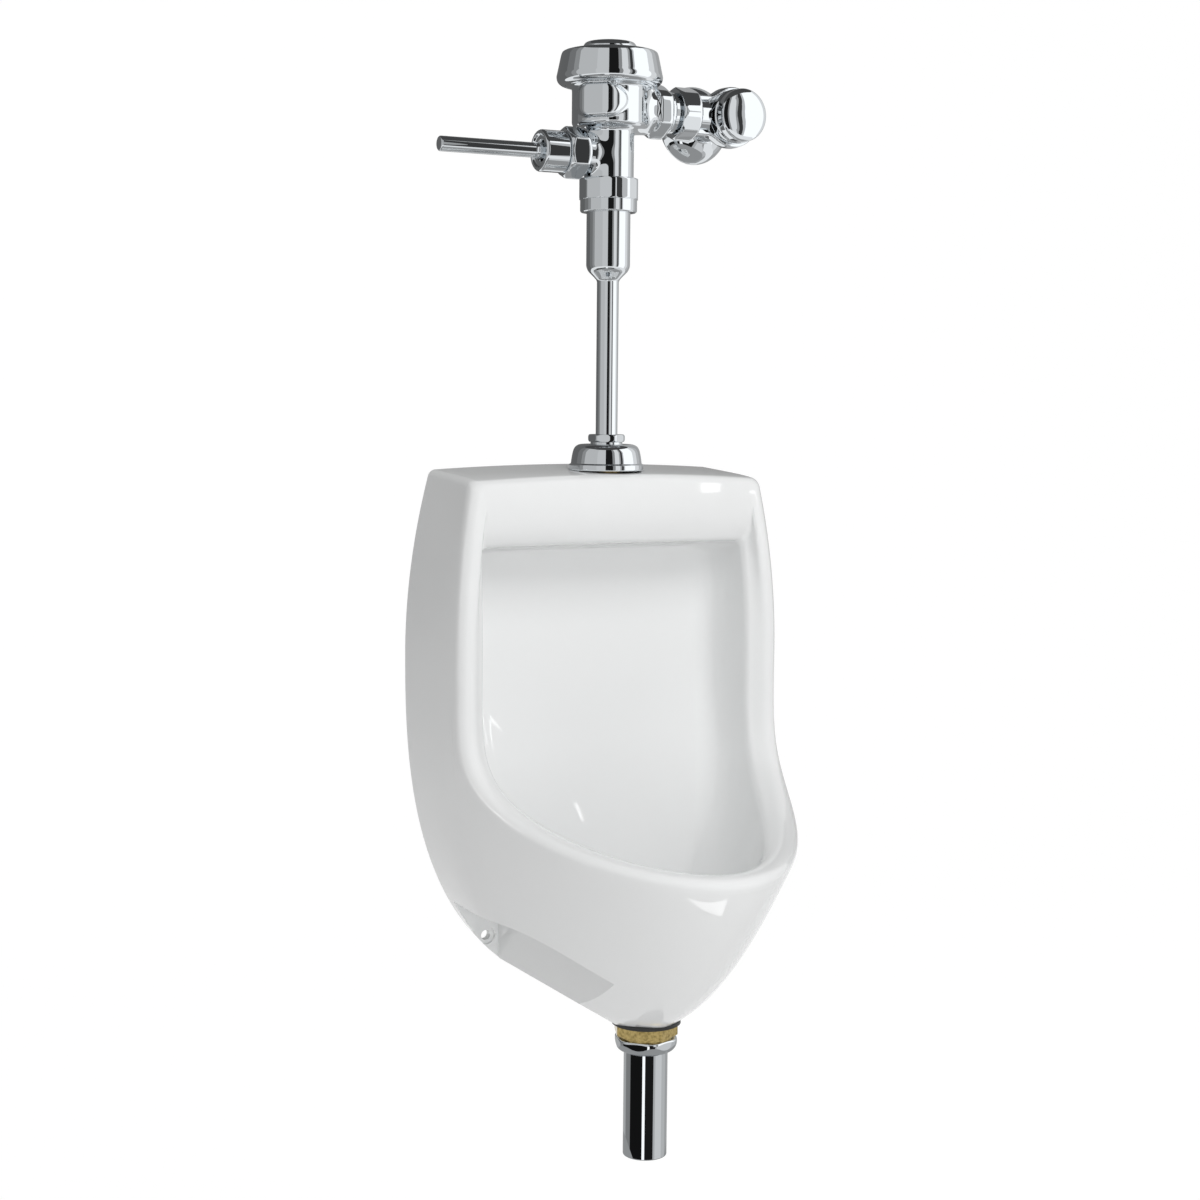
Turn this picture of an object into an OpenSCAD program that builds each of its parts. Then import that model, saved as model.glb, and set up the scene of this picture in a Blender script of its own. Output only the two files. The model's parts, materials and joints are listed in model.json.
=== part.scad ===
// Wall-hung washout urinal with an exposed manual flush valve.
// Units are millimetres. X runs to the right, Y into the wall and Z up; the wall is the plane Y = 0.
// Heights in the modules count from the top of the ceramic, which lies top_z above the origin.

/* [Ceramic body] */
// Height of the ceramic's top above the origin on the wall face
top_z = 60; // [40:1:80]
// Full width of the back edge where it is widest
body_w = 328; // [318:1:340]
// Reach of the lip from the wall
body_reach = 300; // [292:1:310]
// Depth of the side walls from the wall to the front frame
side_reach = 103.6; // [98:0.5:108]
// Height from the top down to the flat face round the outlet
body_h = 468; // [462:1:476]
// Width of the front frame beside the niche
frame_w = 25; // [22:0.5:28]
// Height of the band above the niche
band_h = 62; // [58:1:66]
// Distance from the wall to the niche's back surface
niche_back = 38; // [34:1:42]
// Thickness of the ceramic round the hollow back
shell_t = 11; // [9:0.5:12]
// Distance from the wall to the spud's centre line
spud_y = 63.6; // [60:0.5:67]
// Distance from the wall to the outlet's centre line
outlet_y = 146; // [142:1:150]
// Bowing of the front band at its middle
band_bow = 9; // [6:0.5:12]

/* [Inlet and tubes] */
// Outside diameter of the lower flush tube
tube_d = 19.05; // [18:0.05:20]
// Outside diameter of the wide upper part of the flush tube
breaker_d = 38.1; // [36:0.1:40]
// Length of the wide upper part that shows below its coupling
breaker_len = 48; // [40:1:56]
// Outside diameter of the tailpiece under the bowl
tailpiece_d = 38.1; // [36:0.1:40]
// Length of the tailpiece below its slip nut
tailpiece_len = 93.6; // [70:1:110]
// Diameter of the bell flange on the ceramic
bell_d = 65.5; // [60:0.5:70]

/* [Flush valve] */
// Height of the supply centre line above the ceramic
supply_rise = 314; // [310:1:318]
// Distance of the lever's centre line below the supply centre line
lever_drop = 40; // [39:0.5:41]
// Distance from the valve's axis to the control stop's axis
stop_reach = 120.65; // [118:0.5:126]
// Outside diameter of the valve's upper body
chamber_d = 65; // [63:0.5:67]
// Outside diameter of the cover's lower edge
cover_d = 92; // [90:0.5:95]
// Diameter of the lever's rod
lever_d = 12.7; // [12:0.1:13.5]
// Length of the lever's rod outside its nut
lever_len = 92; // [80:1:105]
// Diameter of the control stop's domed cap
cap_d = 46; // [45:0.5:48]
// Diameter of the flange on the wall round the supply
wall_flange_d = 70; // [66:1:74]

/* [Hidden] */
// Gap between rigid pieces that slide or turn in each other, on the radius
run_gap = 0.05;
// Gap between seated pieces that do not move
seat_gap = 0.1;
eps = 0.01;
$fn = 64;

// Finish colours
china = [0.93, 0.94, 0.94];
chrome = [0.80, 0.82, 0.84];
brass = [0.72, 0.58, 0.30];
rubber = [0.10, 0.10, 0.10];
steel = [0.60, 0.60, 0.60];
plastic = [0.20, 0.22, 0.30];

// Heights that follow from the sizes above
lever_z = supply_rise - lever_drop;
outlet_z = -body_h;
spud_hole_r = 17.5;
spud_seat = 2;
outlet_hole_r = 26;
spud_bore_r = tube_d / 2 + 0.4;
coupling_z0 = supply_rise - 89;
coupling_z1 = coupling_z0 + 29;
breaker_z0 = coupling_z0 - breaker_len;
cone_h = 12;
body_z0 = coupling_z0 + 15;
chamber_z0 = supply_rise - 17;
chamber_z1 = supply_rise + 24;
neck_r = 21.5;
barrel_r = 17;
barrel_bore_r = 14;

// Small drawing helpers
module at_top() { translate([0, 0, top_z]) children(); }
module at_valve() { translate([0, -spud_y, top_z]) children(); }
module at_spud() { translate([0, -spud_y, top_z + spud_seat]) children(); }
module at_outlet() { translate([0, -outlet_y, top_z]) children(); }
module at_stop() { translate([stop_reach, -spud_y, top_z + supply_rise]) children(); }
module along_x() { rotate([0, 90, 0]) children(); }
module along_front() { rotate([90, 0, 0]) children(); }
module spin(profile) { rotate_extrude() polygon(profile); }
module disc(r, z0, z1) { translate([0, 0, z0]) cylinder(r = r, h = z1 - z0); }
module ring(r1, r0, z0, z1) { difference() { disc(r1, z0, z1); disc(r0, z0 - 1, z1 + 1); } }
module hex(flats, z0, z1, sides = 6) {
    translate([0, 0, z0]) cylinder(r = flats / 2 / cos(180 / sides), h = z1 - z0, $fn = sides);
}
module hex_round(flats, z0, z1, sides = 6) {
    intersection() {
        hex(flats, z0, z1, sides);
        spin([[0, z0], [flats / 2 * 1.04, z0], [flats / 2 * 1.15, z0 + 1.4],
            [flats / 2 * 1.15, z1 - 1.4], [flats / 2 * 1.04, z1], [0, z1]]);
    }
}

// The ceramic is drawn from closed rings. Each ring runs as a rounded frame above mid_z
// and as a bowed curve below it, and is given by one row of these values:
// half width, top, bottom, depth at the sides, depth at the bottom, two exponents of the lower
// curve, exponent of the forward sweep, corner radius, narrowing towards the top, bowing at the top
mid_z = -160;
top_steps = 6;
corner_steps = 7;
side_steps = 4;
low_steps = 20;
half_steps = top_steps + corner_steps + side_steps + low_steps;
ring_n = 2 * half_steps;

function side_x(r, z) = r[0] * (1 - r[9] * pow(max(0, (z - mid_z) / (r[1] - mid_z)), 2));
function side_y(r, z) = r[3] * (1 - 0.09 * pow(max(0, (z - mid_z) / (r[1] - mid_z)), 2));

// Point of a ring's right half: i counts from the top middle round to the bottom middle
function half_pt(r, i) =
    i < top_steps ?
        let (x = (side_x(r, r[1]) - r[8]) * i / top_steps)
        [x, -side_y(r, r[1]) - r[10] * (1 - pow(x / r[0], 2)), r[1] + 4 * (1 - pow(x / r[0], 2)) * r[11]]
    : i <= top_steps + corner_steps ?
        let (a = 90 * (1 - (i - top_steps) / corner_steps), z = r[1] - r[8] * (1 - sin(a)),
            x = side_x(r, z) - r[8] * (1 - cos(a)))
        [x, -side_y(r, z) - r[10] * (1 - pow(min(1, x / r[0]), 2)),
            z + 4 * (1 - pow(min(1, x / r[0]), 2)) * r[11]]
    : i <= top_steps + corner_steps + side_steps ?
        let (z = r[1] - r[8] + (mid_z - r[1] + r[8]) * (i - top_steps - corner_steps) / side_steps,
            x = side_x(r, z))
        [x, -side_y(r, z) - r[10] * (1 - pow(min(1, x / r[0]), 2)), z]
    :
        let (g = 1 - pow(1 - (i - top_steps - corner_steps - side_steps) / low_steps, 2.2))
        [r[0] * pow(max(0, 1 - pow(g, r[6])), 1 / r[5]), -(r[3] + (r[4] - r[3]) * pow(g, r[7])),
            mid_z + (r[2] - mid_z) * g];

function mirror_x(p) = [-p[0], p[1], p[2]];
function ring_pts(r) = [for (i = [0:ring_n - 1])
    i <= half_steps ? half_pt(r, i) : mirror_x(half_pt(r, ring_n - i))];

function bezier(a, b, c, d, f) =
    pow(1 - f, 3) * a + 3 * f * pow(1 - f, 2) * b + 3 * f * f * (1 - f) * c + pow(f, 3) * d;
function blend_rings(a, b, c, d, steps) = [for (f = steps)
    [for (i = [0:ring_n - 1]) bezier(a[i], b[i], c[i], d[i], f)]];

// Solid between a list of rings, closed over the first, which lies on the wall, and over the last by its tip
module ring_solid(rings, tip) {
    rows = len(rings);
    polyhedron(
        points = [for (row = rings) for (p = row) p, tip, [0, 0, mid_z]],
        faces = concat(
            [for (i = [0:ring_n - 1]) [(i + 1) % ring_n, i, rows * ring_n + 1]],
            [for (j = [0:rows - 2]) for (i = [0:ring_n - 1])
                let (k = (i + 1) % ring_n) [j * ring_n + i, j * ring_n + k, (j + 1) * ring_n + k]],
            [for (j = [0:rows - 2]) for (i = [0:ring_n - 1])
                let (k = (i + 1) % ring_n) [j * ring_n + i, (j + 1) * ring_n + k, (j + 1) * ring_n + i]],
            [for (i = [0:ring_n - 1])
                [(rows - 1) * ring_n + i, (rows - 1) * ring_n + (i + 1) % ring_n, rows * ring_n]]
        ),
        convexity = 8
    );
}

half_w = body_w / 2;
rim_half = half_w - 8.7;
rim_z = outlet_z + 149.4;
open_half = rim_half - frame_w;

// Outer surface from the wall to the front edge, then over the frame into the niche
wall_ring = ring_pts([half_w, 0, outlet_z + 3, 0, 0, 2, 2.6, 1, 5, 0.14, 0, 1.4]);
skin_ring_1 = ring_pts([half_w - 2, -2, outlet_z - 30, side_reach * 0.35, outlet_y * 0.7,
    1.6, 2.7, 1.2, 5, 0.135, 3, 1.4]);
skin_ring_2 = ring_pts([half_w - 4, -4, outlet_z - 52, side_reach * 0.7, outlet_y + 46,
    1.3, 3.1, 2.4, 6, 0.12, 7, 1.5]);
edge_ring = ring_pts([rim_half + 3, -6, rim_z - 7, side_reach - 15, body_reach - 1.5,
    1.96, 6, 5.04, 7, 0.103, band_bow, 1.6]);
round_ring_1 = ring_pts([rim_half + 1.2, -7.5, rim_z, side_reach - 6, body_reach,
    1.96, 6, 5.04, 7, 0.103, band_bow, 1.6]);
round_ring_2 = ring_pts([rim_half - 3.6, -10.5, rim_z + 4.2, side_reach - 1.2, body_reach - 2.5,
    1.96, 6, 5.04, 7, 0.103, band_bow, 1.6]);
face_ring_1 = ring_pts([rim_half - 8, -15, rim_z + 6, side_reach, body_reach - 7,
    1.96, 6, 5.04, 7, 0.103, band_bow, 1.4]);
face_ring_2 = ring_pts([open_half + 5.5, -band_h + 5.5, rim_z + 5.5, side_reach - 8, body_reach - 19,
    1.95, 5.8, 5, 5, 0.03, band_bow - 1, 0.5]);
lip_ring_1 = ring_pts([open_half + 1.8, -band_h + 1.6, rim_z + 2.5, side_reach - 11, body_reach - 23,
    1.94, 5.6, 5, 5, 0.02, band_bow - 1, 0.5]);
lip_ring_2 = ring_pts([open_half, -band_h, rim_z - 3.5, side_reach - 16, body_reach - 27,
    1.93, 5.4, 5, 6, 0.02, band_bow - 1, 0.4]);

// Niche and bowl behind the frame, narrowing to the outlet
wall_ring_in = ring_pts([open_half - 1, -band_h - 1, outlet_z + 94, niche_back + 26, outlet_y + 100,
    1.9, 3.6, 3.6, 9, 0.02, 4, 0.2]);
turn_ring = ring_pts([open_half - 3, -band_h - 2, outlet_z + 64, niche_back + 3, outlet_y + 62,
    1.9, 2.6, 2.6, 14, 0.03, 1, 0]);
back_ring = ring_pts([open_half - 22, -band_h - 7, outlet_z + 46, niche_back + 0.6, outlet_y - 2,
    2, 1.9, 1.9, 18, 0.0, 0, 0]);
niche_tip = [0, -niche_back, mid_z - 60];
function shrink_ring(r, s) = [for (p = r) [p[0] * s, -niche_back + (p[1] + niche_back) * pow(s, 3),
    niche_tip[2] + (p[2] - niche_tip[2]) * s]];

module ceramic_skin() {
    ring_solid(concat(
        blend_rings(wall_ring, skin_ring_1, skin_ring_2, edge_ring,
            [0, 0.1, 0.22, 0.36, 0.5, 0.64, 0.78, 0.9, 1]),
        [round_ring_1, round_ring_2, face_ring_1, face_ring_2, lip_ring_1],
        blend_rings(lip_ring_2, wall_ring_in, turn_ring, back_ring, [0, 0.15, 0.3, 0.45, 0.6, 0.74, 0.87, 1]),
        [for (s = [0.8, 0.6, 0.4, 0.2]) shrink_ring(back_ring, s)]), niche_tip);
}

// Funnel from the bowl's floor down to the strainer
module funnel() {
    translate([0, -outlet_y, outlet_z]) spin([[0, 33], [strainer_r + 3, 33], [strainer_r + 4.5, 34],
        [strainer_r + 8, 38], [strainer_r + 12, 44], [strainer_r + 16, 52], [strainer_r + 19, 62],
        [strainer_r + 21, 74], [strainer_r + 22, 90], [strainer_r + 22, 120], [0, 120]]);
}

// Hollow back of the casting, open to the wall below the hanger panel
panel_h = band_h + 20;
hollow_ring_0 = ring_pts([half_w - shell_t - 3, -panel_h, outlet_z + 104, 0, 0, 2.3, 2.6, 1, 12, 0.05, 0, 0]);
hollow_ring_1 = ring_pts([half_w - shell_t - 6, -panel_h, outlet_z + 100, 9, 37,
    2.3, 2.6, 1, 12, 0.05, 0, 0]);
hollow_ring_2 = ring_pts([half_w - shell_t - 12, -panel_h - 1, outlet_z + 104, 19, 50,
    2.2, 2.5, 3, 12, 0.05, 0, 0]);
hollow_ring_3 = ring_pts([half_w - shell_t - 34, -panel_h - 8, outlet_z + 122, niche_back - shell_t, 34,
    1.7, 1.8, 3, 20, 0.0, 0, 0]);
hollow_tip = [0, -(niche_back - shell_t + 1), mid_z - 40];

module hollow_back() {
    translate([0, 1, 0]) ring_solid([hollow_ring_0, hollow_ring_1, hollow_ring_2, hollow_ring_3], hollow_tip);
    translate([-core_half + 26, -56, outlet_z + 28]) cube([2 * core_half - 52, 57, 88]);
}

// Water way inside the band above the niche, with its row of holes in the niche's ceiling
chamber_w = 176;
chamber_y0 = 40;
chamber_y1 = 88;
chamber_h0 = 13;
chamber_h1 = band_h - 10;
jet_r = 2.4;
jet_n = 9;
module water_way() {
    translate([0, -(chamber_y0 + chamber_y1) / 2, -(chamber_h0 + chamber_h1) / 2])
        cube([chamber_w, chamber_y1 - chamber_y0, chamber_h1 - chamber_h0], center = true);
    for (i = [0:jet_n - 1]) {
        translate([(i - (jet_n - 1) / 2) * chamber_w / jet_n * 0.98, -66, -band_h - 8])
            cylinder(r = jet_r, h = 24, $fn = 24);
    }
}

// Pockets in the back for the two wall hangers
hanger_x = 76;
hanger_z = -46;
hanger_w = 46;
pocket_d = 16;
pocket_h = 34;
module hanger_pocket() {
    translate([-hanger_w / 2 - 3, -pocket_d, hanger_z - pocket_h / 2])
        cube([hanger_w + 6, pocket_d + 1, pocket_h]);
}

// Cut below each flank, in front of the flange that takes the two lower wall screws.
// Its roof is level at the back and bends down in an arc towards the front, its inner side is
// nearly upright, and a shallow pocket round each screw hole is open to the edge below
screw_x = 89;
screw_z = outlet_z + 50;
screw_seat_r = 8;
screw_hole_r = 4.5;
screw_wall = 10;
flange_t = 17;
pocket_x = 91.7;
pocket_r = 14;
pocket_z = outlet_z + 58;
core_half = 78;
core_turn = -6.4;
cut_roof_z = outlet_z + 87.5;
cut_arc_y = 105;
cut_arc_r = 124.6;
module undercut() {
    intersection() {
        union() {
            translate([0, -cut_arc_y, cut_roof_z - cut_arc_r]) along_x()
                cylinder(r = cut_arc_r, h = 300, $fn = 128);
            translate([0, -cut_arc_y, cut_roof_z - 200]) cube([300, cut_arc_y, 200]);
        }
        translate([core_half, -flange_t, 0]) rotate(core_turn)
            translate([0, -400, outlet_z - 100]) cube([200, 400 + 30, 300]);
        translate([0, -flange_t - 400, outlet_z - 100]) cube([300, 400, 300]);
    }
    translate([pocket_x, -screw_wall, pocket_z]) along_front() cylinder(r = pocket_r, h = 20);
    translate([pocket_x - pocket_r, -screw_wall - 20, pocket_z - 80]) cube([2 * pocket_r, 20, 80]);
}
// Slope from the flat face round the outlet up to the lower edge of the inner wall
foot_flat = 33.4;
foot_rise = 32.9;
module foot_slope() {
    translate([foot_flat, -260, outlet_z]) rotate([0, -foot_rise, 0])
        translate([0, 0, -60]) cube([200, 260, 60]);
}
module lower_screw_hole() {
    translate([screw_x, 1, screw_z]) along_front() cylinder(r = screw_hole_r, h = 40);
    translate([screw_x, -screw_wall + 2.5, screw_z]) along_front() cylinder(r = screw_seat_r, h = 12);
}

module bowl() color(china) at_top() difference() {
    union() {
        difference() {
            ceramic_skin();
            hollow_back();
            funnel();
            undercut();
            mirror([1, 0, 0]) undercut();
            translate([-200, -400, outlet_z - 60]) cube([400, 410, 60]);
        }
        translate([0, -spud_y, 0]) disc(bell_d / 2 - 1, -chamber_h0, spud_seat);
        translate([0, -outlet_y, 0]) disc(outlet_hole_r + 8, outlet_z, outlet_z + 34);
    }
    translate([0, -outlet_y, 0]) {
        disc(outlet_hole_r, outlet_z - 1, outlet_z + 40);
        disc(strainer_r + seat_gap, outlet_z + 28, outlet_z + 80);
    }
    translate([0, -spud_y, 0]) {
        disc(spud_hole_r, -30, 20);
        disc(bell_r + 0.5, spud_seat, 20);
    }
    water_way();
    for (s = [-1, 1]) {
        translate([s * hanger_x, 0, 0]) hanger_pocket();
    }
    lower_screw_hole();
    mirror([1, 0, 0]) lower_screw_hole();
    foot_slope();
    mirror([1, 0, 0]) foot_slope();
}

strainer_r = 31;

// Steel brackets in the back pockets, each with a slot for its wall screw
hanger_t = 3;
hanger_hole_r = 3.25;
module hanger(side) {
    color(steel) at_top() translate([side * hanger_x, 0, hanger_z]) difference() {
        union() {
            translate([-hanger_w / 2, -hanger_t - seat_gap, -pocket_h / 2 + seat_gap])
                cube([hanger_w, hanger_t, pocket_h - 2 * seat_gap - 4]);
            translate([-hanger_w / 2, -pocket_d + seat_gap, -pocket_h / 2 + seat_gap])
                cube([hanger_w, pocket_d - 2 * seat_gap, hanger_t]);
        }
        translate([0, 1, 0]) along_front() cylinder(r = hanger_hole_r, h = hanger_t + 2);
    }
}
module hanger_left() hanger(-1);
module hanger_right() hanger(1);

// Perforated strainer over the outlet, held by one screw to the outlet spud's cross
strainer_t = 2;
strainer_z = outlet_z + 28;
module strainer() color(steel) at_outlet() difference() {
    disc(strainer_r, strainer_z + 3 + seat_gap, strainer_z + 3 + seat_gap + strainer_t);
    for (ring_i = [1:3]) {
        for (a = [0:5 + 6 * (ring_i - 1)]) {
            rotate(a * 360 / (6 * ring_i)) translate([ring_i * 8, 0, strainer_z])
                cylinder(r = 2.6, h = 10, $fn = 24);
        }
    }
    disc(2.6, strainer_z, strainer_z + 10);
}
module strainer_screw() color(steel) at_outlet() difference() {
    union() {
        disc(4.2, strainer_z + 5.2, strainer_z + 7);
        disc(2.5, strainer_z - 2, strainer_z + 5.4);
    }
    translate([-5, -0.5, strainer_z + 6.2]) cube([10, 1, 2]);
}

// Brass outlet spud through the bowl, with its gasket and locknut below
spud_out_r = 24.1;
spud_in_r = tailpiece_d / 2 + 1.2;
spud_out_z0 = outlet_z - 21;
gasket_h = 3.5;
locknut_h = 9;
module outlet_spud() color(brass) at_outlet() {
    difference() {
        union() {
            disc(strainer_r, strainer_z + seat_gap, strainer_z + 3);
            disc(spud_out_r, spud_out_z0, strainer_z + 1);
        }
        disc(spud_in_r, spud_out_z0 - 1, strainer_z + 4);
    }
    difference() {
        union() {
            for (a = [0, 90]) {
                rotate(a) translate([-spud_in_r - 1, -2, strainer_z - 3]) cube([2 * spud_in_r + 2, 4, 5]);
            }
            disc(5, strainer_z - 3, strainer_z + 2);
        }
        disc(2.6, strainer_z - 4, strainer_z + 3);
    }
}
module outlet_gasket() color(rubber) at_outlet()
    ring(30, spud_out_r + seat_gap, outlet_z - gasket_h, outlet_z - seat_gap);
module outlet_locknut() color(brass) at_outlet() difference() {
    hex_round(52.5, outlet_z - gasket_h - locknut_h, outlet_z - gasket_h - seat_gap, 8);
    disc(spud_out_r + seat_gap, outlet_z - 40, outlet_z);
}

// Chrome slip nut and tailpiece
slip_gap = 3;
slip_z1 = outlet_z - gasket_h - locknut_h - slip_gap;
slip_h = 12;
slip_z0 = slip_z1 - slip_h;
slip_r = 27.5;
module slip_nut() color(chrome) at_outlet() difference() {
    spin([[0, slip_z0], [tailpiece_d / 2 + 3.5, slip_z0], [slip_r - 2.2, slip_z0 + 2.2],
        [slip_r - 0.6, slip_z0 + 4.5], [slip_r, slip_z0 + 7],
        [slip_r, slip_z1 - 1.2], [slip_r - 1.2, slip_z1], [0, slip_z1]]);
    disc(spud_out_r + seat_gap, spud_out_z0 - 4.2, slip_z1 + 1);
    disc(tailpiece_d / 2 + 0.5, slip_z0 - 1, slip_z1);
    for (a = [0:5]) {
        rotate(a * 60 + 15) translate([slip_r - 0.6, -9, slip_z0 + 3]) cube([4, 18, slip_h]);
    }
}
slip_end_r = tailpiece_d / 2 - 0.4;
module slip_washer() color(rubber) at_outlet()
    ring(spud_out_r - 0.4, slip_end_r + seat_gap, spud_out_z0 - 4, spud_out_z0 - seat_gap);
tailpiece_z0 = slip_z0 - tailpiece_len;
module tailpiece() color(chrome) at_outlet() difference() {
    union() {
        disc(tailpiece_d / 2, tailpiece_z0, slip_z0 - 1);
        disc(slip_end_r, tailpiece_z0 + 10, outlet_z - 4);
    }
    disc(tailpiece_d / 2 - 1.4, tailpiece_z0 - 1, outlet_z);
}

// Top spud in the ceramic: sleeve with an inner flange, gasket, locknut, packing, nut and bell
top_skin = chamber_h0 + spud_seat - 1.1;
sleeve_r = 15.8;
module inlet_spud() color(brass) at_spud() difference() {
    union() {
        disc(23, -top_skin - 7.5, -top_skin - 4.6);
        disc(sleeve_r, -top_skin - 5, 9);
        disc(12.5, 8, 17.5);
    }
    disc(spud_bore_r, -40, 40);
}
module inlet_gasket() color(rubber) at_spud()
    ring(23, sleeve_r + seat_gap, -top_skin - 4.5, -top_skin - 1.2);
module inlet_locknut() color(brass) at_spud() difference() {
    hex_round(42, seat_gap, 6.1);
    disc(sleeve_r + seat_gap, -1, 12);
}
module spud_packing() color(rubber) at_spud() ring(12.3, tube_d / 2 + seat_gap, 17.6, 21);
module spud_nut() color(chrome) at_spud() difference() {
    union() {
        disc(14, 9.6, 25.5);
        hex_round(29, 25, 31.5);
    }
    disc(12.5 + seat_gap, 9, 21.1);
    disc(tube_d / 2 + 0.3, 9, 40);
}
bell_r = bell_d / 2;
module bell_flange() color(chrome) at_spud() difference() {
    spin([[0, seat_gap], [bell_r - 0.5, seat_gap], [bell_r, 0.8], [bell_r, 5], [bell_r - 0.7, 5.7],
        [bell_r - 1.6, 6], [bell_r - 2.4, 12], [bell_r - 3.6, 17.5], [bell_r - 5.2, 20.6],
        [bell_r - 8, 22.4], [bell_r - 11, 23], [0, 23]]);
    spin([[0, -1], [bell_r - 2.2, -1], [bell_r - 2.6, 5], [bell_r - 4.8, 17], [bell_r - 8, 20.6],
        [bell_r - 11, 21.4], [0, 21.4]]);
    disc(14.3, 0, 30);
}

// Flush tube: thin lower pipe, cone and wide upper part, with the rubber air valve inside it
tube_r = tube_d / 2;
breaker_r = breaker_d / 2;
tube_top = coupling_z0 + 12;
module flush_tube() color(chrome) at_valve() spin([
    [tube_r - 1, -8], [tube_r, -8], [tube_r, breaker_z0 - cone_h], [tube_r + 0.6, breaker_z0 - cone_h + 1.4],
    [breaker_r - 1.2, breaker_z0 - 1.6], [breaker_r, breaker_z0], [breaker_r, tube_top - 2],
    [breaker_r + 1.9, tube_top - 2], [breaker_r + 1.9, tube_top], [breaker_r - 1.3, tube_top],
    [breaker_r - 1.3, breaker_z0 + 0.6], [tube_r - 1, breaker_z0 - cone_h + 1.6]]);
module vacuum_breaker() color(rubber) at_valve() spin([
    [6, tube_top - 38], [7.2, tube_top - 38], [breaker_r - 4.5, tube_top - 8],
    [breaker_r - 2.4, tube_top - 3], [breaker_r - 2.4, tube_top + seat_gap],
    [breaker_r + 1.7, tube_top + seat_gap], [breaker_r + 1.7, tube_top + 1.4],
    [breaker_r - 5, tube_top + 1.4], [breaker_r - 7, tube_top - 6]]);
module tube_gasket() color(rubber) at_valve()
    ring(breaker_r + 1.7, breaker_r - 4, tube_top + 1.5, tube_top + 2.9);

// Coupling nut under the valve: a plain lower band and an upper band with wrench flats
coupling_r = 26.5;
module outlet_coupling() color(chrome) at_valve() difference() {
    union() {
        spin([[0, coupling_z0], [coupling_r - 2.8, coupling_z0], [coupling_r - 1.8, coupling_z0 + 1],
            [coupling_r - 1.8, coupling_z0 + 11], [0, coupling_z0 + 11]]);
        intersection() {
            spin([[0, coupling_z0 + 11], [coupling_r - 1, coupling_z0 + 11], [coupling_r, coupling_z0 + 12.2],
                [coupling_r, coupling_z1 - 1.4], [coupling_r - 1.4, coupling_z1], [0, coupling_z1]]);
            hex(2 * coupling_r - 2.2, coupling_z0 + 10, coupling_z1 + 1, 12);
        }
    }
    disc(breaker_r + 0.4, coupling_z0 - 1, coupling_z1 + 1);
    disc(neck_r + 0.25, coupling_z0 + 9.9, coupling_z1 + 1);
}

// Valve body: upper chamber with its seat barrel, neck, supply arm and lever boss
flange_r = 38;
body_top = supply_rise + 27.6;
arm_r = 19;
arm_x = 57;
boss_r = 16;
boss_x = 28;
boss_end = 36;
guide_r = barrel_bore_r - run_gap;
module valve_body() color(chrome) at_valve() difference() {
    union() {
        spin([[0, body_z0], [neck_r, body_z0], [neck_r, chamber_z0 - 9], [neck_r + 2, chamber_z0 - 5],
            [chamber_d / 2 - 4, chamber_z0 - 1.6], [chamber_d / 2 - 1, chamber_z0 + 1],
            [chamber_d / 2, chamber_z0 + 4],
            [chamber_d / 2, body_top - 18.5], [chamber_d / 2 + 0.8, body_top - 13.5],
            [flange_r - 3, body_top - 10], [flange_r, body_top - 8.6], [flange_r, body_top], [0, body_top]]);
        translate([0, 0, supply_rise]) along_x() spin([[0, 20], [arm_r + 3, 20],
            [arm_r + 3, chamber_d / 2 - 1], [arm_r, chamber_d / 2 + 3], [arm_r, arm_x - 1.2],
            [arm_r - 1.2, arm_x], [0, arm_x]]);
        translate([0, 0, lever_z]) rotate([0, -90, 0]) spin([[0, 14], [boss_r + 3, 14], [boss_r + 3, neck_r],
            [boss_r + 1, boss_x - 3], [boss_r + 1, boss_x - 0.5], [boss_r - 0.6, boss_x],
            [boss_r - 0.6, boss_end], [0, boss_end]]);
    }
    disc(neck_r - 5.5, body_z0 - 1, chamber_z0 - 2);
    disc(barrel_bore_r, chamber_z0 - 3, body_top + 1);
    difference() {
        disc(chamber_d / 2 - 4.5, chamber_z0 + 3, body_top + 1);
        disc(barrel_r, chamber_z0, body_top);
    }
    translate([0, 0, supply_rise]) along_x() {
        disc(13, barrel_r + 2, arm_x);
        disc(15.2, chamber_d / 2 + 3, arm_x + 1);
    }
    translate([0, 0, lever_z]) rotate([0, -90, 0]) disc(7.5, 10, boss_end + 1);
}

// Diaphragm, sliding guide and relief valve
module diaphragm() color(rubber) at_valve() ring(flange_r - 0.4, 9, body_top + seat_gap, body_top + 3);
guide_top = body_top + 5.4;
module flush_guide() color(plastic) at_valve() difference() {
    union() {
        disc(guide_r, body_top - 28, body_top - 0.2);
        disc(8.8, body_top - 1, body_top + 4);
        disc(14, body_top + 3.1, guide_top);
    }
    disc(7, body_top - 29, guide_top + 1);
}
stem_r = 2.6;
module relief_valve() color(plastic) at_valve() {
    disc(10.5, guide_top + seat_gap, guide_top + 2.1);
    disc(stem_r, lever_z - 8, guide_top + 1);
}

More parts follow.
